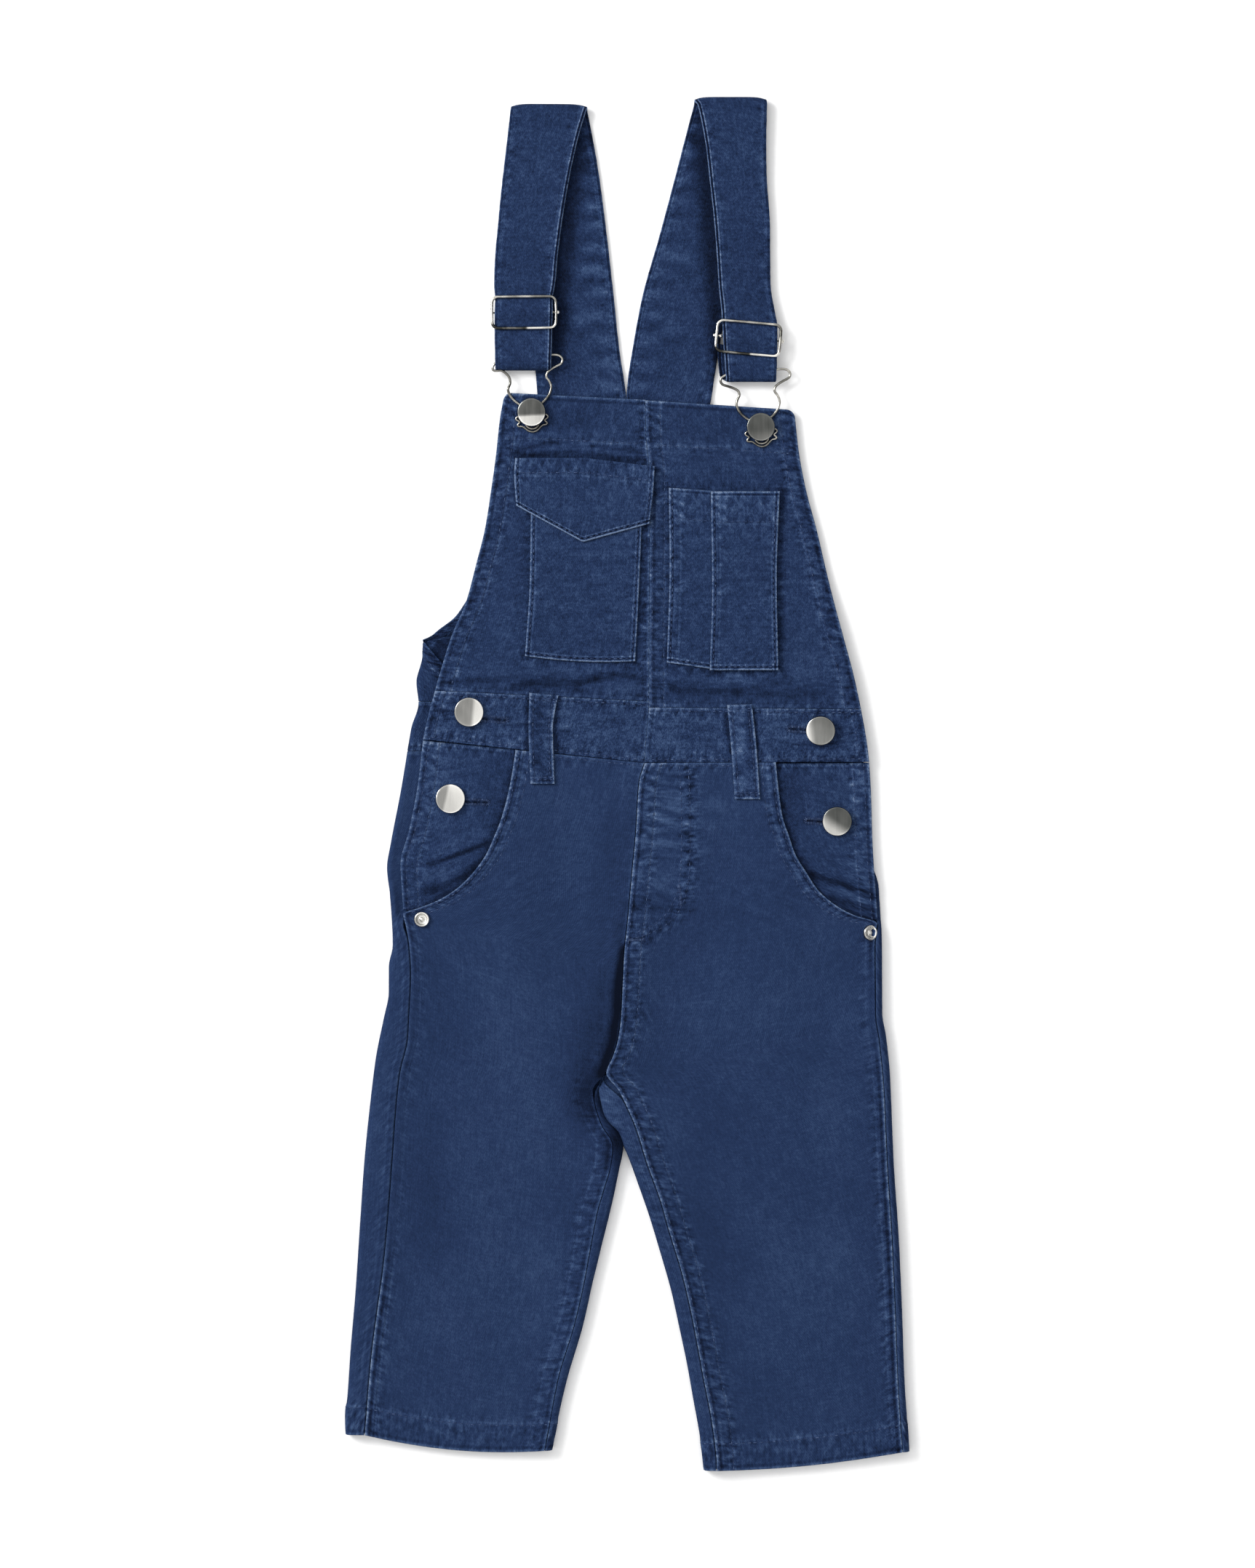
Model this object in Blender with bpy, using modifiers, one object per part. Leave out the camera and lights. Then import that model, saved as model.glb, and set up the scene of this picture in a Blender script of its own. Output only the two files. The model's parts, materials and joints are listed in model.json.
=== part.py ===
"""Baby dungarees in denim, laid flat on their back with the front up.

+Y runs from the hems to the shoulder folds, +X to the viewer's right, +Z up. Every cloth
piece is a sheet with a real wall. A piece that lies on another follows the same height
function, one layer higher. All tables are in millimetres and become metres in the mesh.
"""

import math

import bmesh
import bpy
from mathutils import Vector

MM = 0.001
DENIM = 1.0  # one layer of denim
STRAP = 1.6  # two layers, pressed and stitched
GAP = 0.3  # between pieces that touch
LAYER = DENIM + GAP

FRONT_TOP = 2.9  # upper face of the front panels where they lie lowest
HIP_LIFT = 2.2  # how much the side plackets under them raise the hips
HIP_MIDDLE = 8.0
HIP_HALF_WIDTH = 115.0
UNDERLAP_TOP = 2.3  # upper face of the back's plackets, under the front
LEG_ROLL = 2.95  # radius of a leg's rolled edge
SEAM_LIFT = 2.8  # how far a leg's seams stand above the middle of its front

BUTTON_RADIUS = 7.4
BUTTON_THICK = 2.2
SHANK_RADIUS = 2.3
HOLE_RADIUS = 2.8
WIRE_RADIUS = 0.75
BAR_RADIUS = 0.6
RIVET_RADIUS = 3.6

DENIM_COLOR = (0.024, 0.044, 0.107)
NICKEL_COLOR = (0.56, 0.55, 0.52)

# Seam and edge lines, top to bottom: (y, x).
FRONT_EDGE_L = (
    (197.5, -62.5), (186, -64.5), (167, -67), (149, -69.5), (130, -72.5), (112, -77),
    (93, -82), (75, -89.5), (56, -95.5), (47, -98), (36, -101), (22, -104), (1, -106.5),
    (-23, -111), (-41, -115.5), (-58, -114.5), (-66, -114),
)
FRONT_EDGE_R = (
    (190, 84.5), (169, 87), (149, 91), (130, 95.5), (112, 99.5), (93, 104), (75, 109),
    (56, 114), (38, 118), (19, 122), (10, 123), (-8, 124), (-26, 124.5), (-45, 125.5),
    (-58, 126.5), (-70.5, 127.3),
)
CENTRE_SEAM = ((195.5, 9), (177, 9.5), (155, 11.5), (60, 11), (42, 11), (29, 10), (10.3, 8.5))
FLY = (
    (10.3, 8.5), (1, 5.8), (-26, 4), (-45, 2.2), (-69, 0), (-86, -1.8), (-119, -3.5),
    (-130, -5), (-139, -7.8), (-147, -11),
)
MOUTH_L = (
    (16.5, -57), (1, -59.5), (-17, -64), (-26, -67.5), (-36, -72), (-45, -78.5),
    (-52.5, -86), (-59, -96), (-63, -106), (-66, -114),
)
MOUTH_R = (
    (10.3, 75.5), (-8, 77.5), (-17, 79), (-26, 82), (-36, 85.5), (-45, 91), (-54, 97),
    (-62, 106.5), (-67, 116), (-70.5, 127),
)
SIDE_SEAM_L = (
    (-66, -114), (-73, -112.5), (-82, -111), (-97, -110), (-119, -111), (-129, -111.5),
    (-147, -115.5), (-165, -117.5), (-193, -119.5), (-219, -121.5), (-245, -124),
    (-267, -127), (-290, -130), (-306, -131.5), (-331.5, -133.5),
)
SIDE_SEAM_R = (
    (-70.5, 127), (-76, 126), (-85, 125.7), (-100, 125.8), (-118, 126), (-130, 127.8), (-156, 130.3),
    (-193, 132), (-230, 134.3), (-267, 136), (-304, 137.4), (-339.5, 139.8),
)
INSEAM_L = (
    (-147, -11), (-156, -17.6), (-163, -16.7), (-173, -13.4), (-184, -7.6), (-193, -8.4),
    (-206, -12), (-217, -15.2), (-235, -18.7), (-254, -22.2), (-274, -26.8),
    (-302, -35.2), (-326, -39.8), (-339, -42.2),
)
INSEAM_R = (
    (-147, -11), (-156, -4.5), (-165, 0), (-174, 4), (-193, 10), (-211, 16.5), (-230, 22),
    (-248, 27.5), (-267, 32), (-285, 35.5), (-304, 39), (-322, 42.5), (-341, 45), (-349.5, 45.5),
)
# Outlines of the rolled edges of the back, top to bottom: (y, x).
OUTLINE_L = (
    (70, -104), (63, -104.8), (52, -107.5), (41, -106.5), (29, -110), (17, -112), (-4, -115.5),
    (-30, -120.5), (-43, -122.5), (-56, -121), (-82, -119.5), (-93, -121.5), (-106, -121.5),
    (-119, -124), (-139, -128), (-163, -131), (-193, -134), (-222, -136), (-259, -138.5),
    (-289, -141), (-311, -142.5), (-322, -143.5), (-330.5, -143.2),
)
OUTLINE_R = (
    (70, 107), (56, 111.5), (38, 116), (19, 120), (-8, 122), (-45, 123.5), (-58, 125.5),
    (-66, 128.5), (-82, 129.5), (-117, 129.7), (-128, 131.5), (-147, 133.5), (-174, 134.7),
    (-193, 135.5), (-230, 138), (-267, 139.7), (-304, 141), (-319, 142), (-340, 143.2),
)
CROTCH_L = (
    (-150, -12.3), (-156, -14.6), (-163, -13.3), (-173, -9.7), (-184, -3.0), (-193, -4.5),
    (-206, -8.2), (-217, -11.5), (-235, -15), (-254, -18.5), (-274, -23), (-286, -27),
    (-302, -31.5), (-313, -34), (-326, -36), (-339, -38.5),
)
CROTCH_R = (
    (-150, -12), (-156, -14.2), (-163, -12.9), (-173, -9.2), (-184, -2.5), (-191, 1), (-204, 5.5),
    (-221, 11.5), (-239, 17.5), (-258, 23), (-276, 27), (-295, 31), (-313, 34), (-332, 37),
    (-349, 39),
)
# Free edge of the back's side placket where it runs under the front: (y, x).
UNDERLAP_L = (
    (70, -101.5), (63, -95.5), (52, -86), (42, -80), (17, -81), (-4, -83), (-30, -88),
    (-45, -94), (-58, -104), (-66, -112.5), (-73, -114.5),
)
UNDERLAP_R = (
    (70, 104), (63, 99), (52, 95), (17, 93), (-30, 95), (-45, 100), (-58, 112), (-66, 124), (-72, 127.5),
)

# Rows that the front and the back of a leg share, from the end of the side opening to the hem:
# y at the outer side, y at the inner side, sag of the middle.
LEG_ROWS_L = (
    (-66.2, -95, 0), (-73, -107, 0), (-85, -119, 0), (-98, -130, 0), (-112, -139, 0),
    (-124, -147, 0), (-135, -155.5, 0), (-145, -163, 0), (-155, -173, 0), (-168, -184, 0),
    (-181, -194, 0), (-196, -208, 0), (-215, -226, 0), (-240, -250, 0), (-268, -277, 0),
    (-300, -307, 1), (-331, -339, 3),
)
LEG_ROWS_R = (
    (-70.5, -95, 0), (-76, -107, 0), (-86, -119, 0), (-98, -130, 0), (-112, -139, 0),
    (-124, -147, 0), (-135, -155.5, 0), (-145, -164, 0), (-155, -173, 0), (-168, -184, 0),
    (-183, -195, 0), (-200, -209, 0), (-220, -228, 0), (-246, -254, 0), (-275, -284, 0),
    (-306, -315, 0), (-339.7, -349.2, -1),
)

# Soft folds of the front: from (x0, y0) to (x1, y1), with their half width and height.
FOLDS = (
    # x0, y0, x1, y1, half_width, height
    (6, -60, -2, -138, 12, 2.0),  # the fly stands up over the left front
    (-75, 52, -5, 49, 11, 0.9),  # above the waistband
    (30, 52, 100, 50, 11, 0.7),
    (-26, 173, 4, 177, 10, 0.6),  # over the pocket flap
    (-104, -42, -76, -30, 13, 0.5),  # across the left hip
    (96, -38, 120, -52, 13, 0.5),  # across the right hip
    (-52, -120, -84, -330, 34, 1.3),  # down the left leg
    (66, -110, 92, -340, 34, 1.3),  # down the right leg
)

# Places of the fastenings: (x, y).
SIDE_BUTTONS = {
    "side_button_upper_l": (-80.5, 36.5),
    "side_button_lower_l": (-90, -7.5),
    "side_button_upper_r": (98, 27),
    "side_button_lower_r": (106.5, -19),
}
BIB_BUTTON_L = (-48.8, 188.9)
BIB_BUTTON_R = (67.7, 181.4)
RIVET_L = (-104.5, -69.5)
RIVET_R = (121.0, -76.5)

HOOK_TILT_L = 4.5
HOOK_TILT_R = 6.0
SLIDER_L = (-52.8, 240, 0.6)  # x, y, tilt in degrees
SLIDER_R = (61.4, 226.6, -5.2)
SLIDER_HALF_WIDTH = 15.9
SLIDER_HALF_HEIGHT = 7.4
SLIDER_CORNER = 3.0
SLIDER_HEIGHT = 6.45
BAR_HEIGHT = 4.8
HOOK_BAR_HEIGHT = 4.55


# ---------------------------------------------------------------- scene and materials


def collection(name):
    made = bpy.data.collections.new(name)
    bpy.context.scene.collection.children.link(made)
    return made


def clear_scene():
    for old in list(bpy.data.objects):
        bpy.data.objects.remove(old, do_unlink=True)


def material(name, color, roughness, metallic):
    made = bpy.data.materials.new(name)
    made.use_nodes = True
    shader = made.node_tree.nodes["Principled BSDF"]
    shader.inputs["Base Color"].default_value = (*color, 1.0)
    shader.inputs["Roughness"].default_value = roughness
    shader.inputs["Metallic"].default_value = metallic
    return made


def finish(obj, metal=False):
    """Files the object with the part and gives it a material of its own."""
    PART.objects.link(obj)
    if metal:
        own = material(obj.name + "_nickel", NICKEL_COLOR, 0.32, 1.0)
    else:
        own = material(obj.name + "_denim", DENIM_COLOR, 0.9, 0.0)
    obj.data.materials.append(own)
    return obj


# ---------------------------------------------------------------- lines and heights


def across(line, y):
    """x where a line crosses the height y, on a smooth curve that never overshoots its stations."""
    stations = sorted(line)
    y = min(max(y, stations[0][0]), stations[-1][0])
    at = max(i for i in range(len(stations) - 1) if i == 0 or stations[i][0] <= y)

    def slope(i):
        (y0, x0), (y1, x1) = stations[i], stations[i + 1]
        return (x1 - x0) / (y1 - y0)

    def tangent(i):
        if i in (0, len(stations) - 1):
            return slope(min(i, len(stations) - 2))
        before, after = slope(i - 1), slope(i)
        return 0.0 if before * after <= 0 else 2 * before * after / (before + after)

    (y0, x0), (y1, x1) = stations[at], stations[at + 1]
    span = y1 - y0
    t = (y - y0) / span
    return (
        x0 * (1 + 2 * t) * (1 - t) ** 2
        + x1 * t * t * (3 - 2 * t)
        + span * tangent(at) * t * (1 - t) ** 2
        - span * tangent(at + 1) * t * t * (1 - t)
    )


def ease(start, end, value):
    t = min(max((value - start) / (end - start), 0.0), 1.0)
    return t * t * (3 - 2 * t)


def fold_height(x, y):
    total = 0.0
    for x0, y0, x1, y1, half_width, height in FOLDS:
        run = Vector((x1 - x0, y1 - y0))
        from_start = Vector((x - x0, y - y0))
        t = min(max(from_start.dot(run) / run.length_squared, 0.0), 1.0)
        distance = (from_start - run * t).length
        total += height * math.exp(-((distance / half_width) ** 2))
    return total


def front_top(x, y, layer=0):
    """Upper face of the front at a point; each layer lies one denim and one gap higher."""
    off_middle = abs(x - HIP_MIDDLE) / HIP_HALF_WIDTH
    hip = ease(0.30, 0.60, off_middle) * ease(-120, -80, y) * (1 - ease(78, 112, y))
    return FRONT_TOP + HIP_LIFT * hip + fold_height(x, y) + layer * LAYER


def outer_lift(y):
    """How far the side seam stands above the middle of a leg's front."""
    return SEAM_LIFT * ease(-80, -120, y)


def inner_lift(y):
    """How far the inseam stands above the middle of a leg's front."""
    return SEAM_LIFT * ease(-150, -176, y)


# ---------------------------------------------------------------- cloth


def rows_between(left, right, stops):
    """Rows across a panel between two lines. Each stop gives the row's y on the left and on the
    right line, how far its middle sags, and the cells down to the next stop."""
    rows = []
    for i, (y_left, y_right, sag, cells) in enumerate(stops):
        following = stops[min(i + 1, len(stops) - 1)]
        for step in range(cells):
            t = step / cells
            y0 = y_left + (following[0] - y_left) * t
            y1 = y_right + (following[1] - y_right) * t
            bow = sag + (following[2] - sag) * t
            rows.append((Vector((across(left, y0), y0)), Vector((across(right, y1), y1)), bow))
    return rows


def sheet_object(name, grid, thickness, facing, offset=-1.0):
    """A sheet through a grid of points, rows of (x, y, z), given its wall by Solidify. The side
    that faces along facing at the middle of the sheet is its outer face."""
    bm = bmesh.new()
    across_cells, down_cells = len(grid[0]) - 1, len(grid) - 1
    bmesh.ops.create_grid(bm, x_segments=across_cells, y_segments=down_cells, size=0.5)
    for vert in bm.verts:
        column = round((vert.co.x + 0.5) * across_cells)
        row = round((0.5 - vert.co.y) * down_cells)
        vert.co = Vector(grid[row][column]) * MM
    bm.normal_update()
    if sum((face.normal * face.calc_area() for face in bm.faces), Vector()).dot(facing) < 0:
        bmesh.ops.reverse_faces(bm, faces=bm.faces[:])
    mesh = bpy.data.meshes.new(name)
    bm.to_mesh(mesh)
    bm.free()
    mesh.shade_smooth()
    obj = bpy.data.objects.new(name, mesh)
    wall = obj.modifiers.new("Wall", "SOLIDIFY")
    wall.thickness = thickness * MM
    wall.offset = offset
    return finish(obj)


def panel(name, rows, columns, layer=0, lift_left=None, lift_right=None, pointed=False):
    """A panel of the front. The lifts give how far its edges stand up at a row's y. A row that
    sags does so in a bow, or to a point."""
    grid = []
    for left, right, sag in rows:
        points = []
        for i in range(columns + 1):
            u = i / columns
            x = left.x + (right.x - left.x) * u
            bow = 1 - abs(2 * u - 1) if pointed else 4 * u * (1 - u)
            y = left.y + (right.y - left.y) * u - sag * bow
            z = front_top(x, y, layer)
            z += lift_left(left.y) * (1 - u) ** 4 if lift_left else 0.0
            z += lift_right(right.y) * u**4 if lift_right else 0.0
            points.append((x, y, z))
        grid.append(points)
    return sheet_object(name, grid, DENIM, Vector((0, 0, 1)))


def shifted(line, dx):
    return tuple((y, x + dx) for y, x in line)


def back_sheet(name, stops, left, right, bottom_cells):
    """A panel of the back: flat on the floor, and rolled up over its edges where they say so.

    left and right give, for a row's y, the points from the free edge to the roll's top, the
    roll's x, its radius and how far it is rolled, from 0, flat, to 1."""
    roll_cells = 4
    grid = []
    for y_left, y_right, sag in stops:
        halves = []
        for edge, y, inward in ((left, y_left, 1), (right, y_right, -1)):
            flap, roll_x, radius, rolled = edge(y)
            centre = roll_x + inward * radius
            arc = [math.pi * (0.5 + k / roll_cells) for k in range(roll_cells + 1)]
            up = flap + [
                (centre + inward * radius * math.cos(a), radius + radius * math.sin(a)) for a in arc
            ]
            length = abs(flap[0][0] - centre) + math.pi * radius
            count = len(up) - 1
            flat = [(roll_x + inward * length * k / count, 0.0) for k in range(count + 1)]
            half = [blend(lying, turned_up, rolled) for lying, turned_up in zip(flat, up)]
            # A part rolled edge draws in, so it is moved back out to its line.
            drawn_in = min((x - roll_x) * inward for x, z in half)
            halves.append([(x - inward * drawn_in, z) for x, z in half])
        first, last = halves[0], halves[1][::-1]
        gap = last[0][0] - first[-1][0]
        middle = [
            (first[-1][0] + gap * k / bottom_cells, 0.0) for k in range(1, bottom_cells)
        ]
        profile = first + middle + last
        x_start, x_end = profile[0][0], profile[-1][0]
        points = []
        for x, z in profile:
            t = min(max((x - x_start) / (x_end - x_start), 0.0), 1.0)
            points.append((x, y_left + (y_right - y_left) * t - sag * 4 * t * (1 - t), z))
        grid.append(points)
    return sheet_object(name, grid, DENIM, Vector((0, 0, -1)))


def blend(first, second, share):
    return (
        first[0] + (second[0] - first[0]) * share,
        first[1] + (second[1] - first[1]) * share,
    )


def middle_of(end, x, z):
    return blend(end, (x, z), 0.5)


def flat_edge(line):
    """An edge of the back that lies flat and ends on a line."""

    def edge(y):
        x = across(line, y)
        return [(x, 1.0), (x, 1.0)], x, 3.0, 0.0

    return edge


def body_edge(outline, front_edge, underlap, seam, side, radius, low_radius):
    """The back's side from the armhole to the hem. Down to the end of the side opening its
    placket lies loose under the front; below that it is sewn to the front at the side seam."""

    def edge(y):
        roll_x = across(outline, y)
        sewn = ease(-67, -79, y)
        roll = radius + (low_radius - radius) * ease(-40, -62, y)
        end = (across(underlap, y), UNDERLAP_TOP)
        dip = (across(front_edge, y) + side * 1.2, UNDERLAP_TOP + 0.05)
        if (dip[0] - end[0]) * side < 2:
            dip = ((roll_x - side * roll + end[0]) / 2, 2 * roll - 0.1)
            end = (end[0], 2 * roll - 0.3)
        seam_x = across(seam, y)
        top = front_top(seam_x, y) + outer_lift(y)
        sewn_roll = min(top / 2, LEG_ROLL)
        sewn_end = (seam_x + side * GAP, top)
        sewn_dip = middle_of(sewn_end, roll_x - side * sewn_roll, 2 * sewn_roll)
        flap = [blend(end, sewn_end, sewn), blend(dip, sewn_dip, sewn)]
        return flap, roll_x, roll + (sewn_roll - roll) * sewn, 1 - ease(69, 77, y)

    return edge


def crotch_edge(outline, seam, side):
    """The back's inner edge: flat to the centre back seam, and below the crotch rolled up to
    the inseam."""

    def edge(y):
        roll_x = across(outline, y)
        seam_x = across(seam, y)
        top = front_top(seam_x, y) + inner_lift(y)
        roll = min(top / 2, LEG_ROLL)
        end = (seam_x + side * GAP, top)
        flap = [end, middle_of(end, roll_x - side * roll, 2 * roll)]
        return flap, roll_x, roll, ease(-138, -162, y)

    return edge


def armhole_edge(armhole, lower):
    """The back bib's side: its armhole hem lies flat, and below it the side rolls up."""

    def edge(y):
        if y > 75:
            return flat_edge(armhole)(y)
        return lower(y)

    return edge


def make_back():
    left = body_edge(OUTLINE_L, FRONT_EDGE_L, UNDERLAP_L, SIDE_SEAM_L, -1, 1.8, 2.2)
    right = body_edge(OUTLINE_R, FRONT_EDGE_R, UNDERLAP_R, SIDE_SEAM_R, 1, 1.15, 1.15)
    armhole_l = (
        (190, -44.5), (160, -50), (130, -61), (105, -75), (92, -83), (85, -88), (78, -97),
        (73, -102.5),
    )
    armhole_r = ((190, 41.5), (160, 49), (130, 62), (105, 80), (85, 96), (78, 102), (73, 105.5))
    bib_stops = (
        # y on the left, y on the right, sag
        (189.5, 189.5, 0), (160, 160, 0), (130, 130, 0), (105, 105, 0), (92, 92, 0), (84, 84, 0),
        (78, 78, 0), (74.5, 74.5, 0), (72, 72, 0), (69, 69, 0), (62, 62, 0), (52, 52, 0), (42.3, 42.3, 0),
    )
    back_sheet("back_bib", bib_stops, armhole_edge(armhole_l, left), armhole_edge(armhole_r, right), 6)
    band_stops = ((42, 42, 0), (29, 29, 0), (17, 17, 0))
    back_sheet("back_waistband", band_stops, left, right, 6)
    seat = (
        # y on the outer side, y on the inner side, sag
        (16.7, 16.7, 0), (0, 0, 0), (-20, -22, 0), (-38, -45, 0), (-52, -65, 0), (-61, -80, 0),
    )
    crotch_l = crotch_edge(shifted(FLY, -GAP / 2) + CROTCH_L, FLY + INSEAM_L[1:], 1)
    crotch_r = crotch_edge(shifted(FLY, GAP / 2) + CROTCH_R, FLY + INSEAM_R[1:], -1)
    back_sheet("back_leg_l", seat + LEG_ROWS_L, left, crotch_l, 4)
    from_inside = [(inner, outer, sag) for outer, inner, sag in seat + LEG_ROWS_R]
    back_sheet("back_leg_r", from_inside, crotch_r, right, 4)


def make_front():
    centre_l = shifted(CENTRE_SEAM, -GAP / 2)
    centre_r = shifted(CENTRE_SEAM, GAP / 2)
    # Stops: y on the left line, y on the right line, sag, cells to the next stop.
    bib_l = ((197.3, 195.5, 0, 3), (167, 167, 0, 7), (92, 92, 0, 4), (47.8, 42.3, 0, 1))
    bib_r = ((195.3, 190, 0, 3), (167, 167, 0, 7), (92, 92, 0, 5), (39.3, 38.3, 0, 1))
    band_l = ((47.5, 42, 0, 2), (22.6, 10.8, 0, 1))
    band_r = ((39, 38, 0, 2), (10.8, 11.2, 0, 1))
    panel("bib_l", rows_between(FRONT_EDGE_L, centre_l, bib_l), 7)
    panel("bib_r", rows_between(centre_r, FRONT_EDGE_R, bib_r), 7)
    panel("waistband_l", rows_between(FRONT_EDGE_L, centre_l, band_l), 9)
    panel("waistband_r", rows_between(centre_r, FRONT_EDGE_R, band_r), 9)

    facing_l = ((17, -44), (-17, -50), (-36, -59), (-50, -70), (-60, -84), (-72, -100))
    facing_r = ((11, 63), (-17, 66), (-36, 72), (-52, 83), (-64, 96), (-78, 112))
    rows_l = rows_between(FRONT_EDGE_L, facing_l, ((22.3, 16.5, 0, 7), (-63.5, -71, 0, 1)))
    rows_r = rows_between(facing_r, FRONT_EDGE_R, ((10.5, 10.9, 0, 7), (-77, -68.5, 0, 1)))
    panel("hip_facing_l", rows_l, 5, layer=-1)
    panel("hip_facing_r", rows_r, 5, layer=-1)

    outer_l = MOUTH_L + SIDE_SEAM_L[1:]
    outer_r = MOUTH_R + SIDE_SEAM_R[1:]
    inner_l = shifted(FLY, -GAP / 2) + INSEAM_L[1:]
    inner_r = shifted(FLY, GAP / 2) + INSEAM_R[1:]
    # The front's own rows, above those that it shares with the back.
    above_l = ((16.2, 10.4, 0, 2), (-17, -18, 0, 3), (-45, -50, 0, 2), (-57, -74, 0, 1), (-62, -84, 0, 1))
    above_r = ((10.4, 10, 0, 2), (-18, -18, 0, 3), (-50, -46, 0, 2), (-74, -58, 0, 1), (-84, -64, 0, 1))
    shared_l = tuple(row + (1,) for row in LEG_ROWS_L)
    shared_r = tuple((inner, outer, sag, 1) for outer, inner, sag in LEG_ROWS_R)
    panel("front_leg_l", rows_between(outer_l, inner_l, above_l + shared_l), 7, 0, outer_lift, inner_lift)
    panel("front_leg_r", rows_between(inner_r, outer_r, above_r + shared_r), 7, 0, inner_lift, outer_lift)


def make_patches():
    """Bib pockets, their flap and the belt loops, each a layer above what it lies on."""
    patches = (
        # name, layer, columns, left line, right line, stops
        (
            "bib_pocket_l", 1, 4,
            ((150, -48.5), (103, -49), (66, -51)), ((150, 7.8), (93, 5), (63, 3)),
            ((149, 149, 0, 6), (66, 63, 2, 1)),
        ),
        (
            "bib_flap_l", 2, 6,
            ((166, -56.5), (158, -57), (141.5, -55.5)), ((162, 13.5), (150, 13), (132.5, 11)),
            ((165.8, 161.5, -1.5, 2), (152, 147, 2, 1), (141.5, 132.5, 12.2, 1)),
        ),
        (
            "bib_pen_slot_r", 1, 1,
            ((151, 21.5), (112, 21.7), (62, 20.5)), ((151, 42.7), (100, 43.2), (59, 42.2)),
            ((150.5, 149, 0, 6), (62.7, 59.2, 0, 1)),
        ),
        (
            "bib_pocket_r", 2, 3,
            ((150, 42), (100, 42.5), (58, 41.5)), ((149, 77), (103, 75.5), (58, 76)),
            ((148.5, 148.5, 0, 6), (58.6, 58.6, 0, 1)),
        ),
        (
            "belt_loop_l", 1, 1,
            ((47, -49.8), (29, -50.3), (0, -49.3)), ((47, -34.5), (38, -36.5), (29, -37.8), (0, -37)),
            ((46.5, 45, 0, 4), (0, 0, 0, 1)),
        ),
        (
            "belt_loop_r", 1, 1,
            ((41, 50.5), (20, 52.5), (-8, 54.5)), ((41, 63.2), (20, 65.5), (-8, 67.5)),
            ((40.3, 40.6, 0, 4), (-7.8, -7.8, 0, 1)),
        ),
    )
    for name, layer, columns, left, right, stops in patches:
        pointed = name == "bib_flap_l"
        panel(name, rows_between(left, right, stops), columns, layer, pointed=pointed)


def ribbon(name, rows):
    """A strap through rows of (left x, left y, right x, right y, height of its middle)."""
    cells = 3
    grid = []
    for x0, y0, x1, y1, z in rows:
        steps = [k / cells for k in range(cells + 1)]
        grid.append([(x0 + (x1 - x0) * u, y0 + (y1 - y0) * u, z) for u in steps])
    return sheet_object(name, grid, STRAP, Vector((0, 0, -1)), offset=0.0)


def fold_rows(row, radius, end):
    """Rows round a fold. It turns up at the shoulder, end 1, and down at the hook, end -1."""
    x0, y0, x1, y1, z = row
    rows = []
    for k in range(1, 4):
        angle = math.pi * k / 4
        reach = end * radius * math.sin(angle)
        height = z + end * radius * (1 - math.cos(angle))
        rows.append((x0, y0 + reach, x1, y1 + reach, height))
    return rows


def strap(name, back, front, returned):
    """One ribbon: up the back, over the shoulder fold, down the front through the slider, round
    the hook's bar and back up to the slider's bar."""
    shoulder = fold_rows(back[-1], (front[0][4] - back[-1][4]) / 2, 1)
    hook_end = fold_rows(front[-1], (front[-1][4] - returned[0][4]) / 2, -1)
    ribbon(name, back + tuple(shoulder) + front + tuple(hook_end) + returned)


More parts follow.
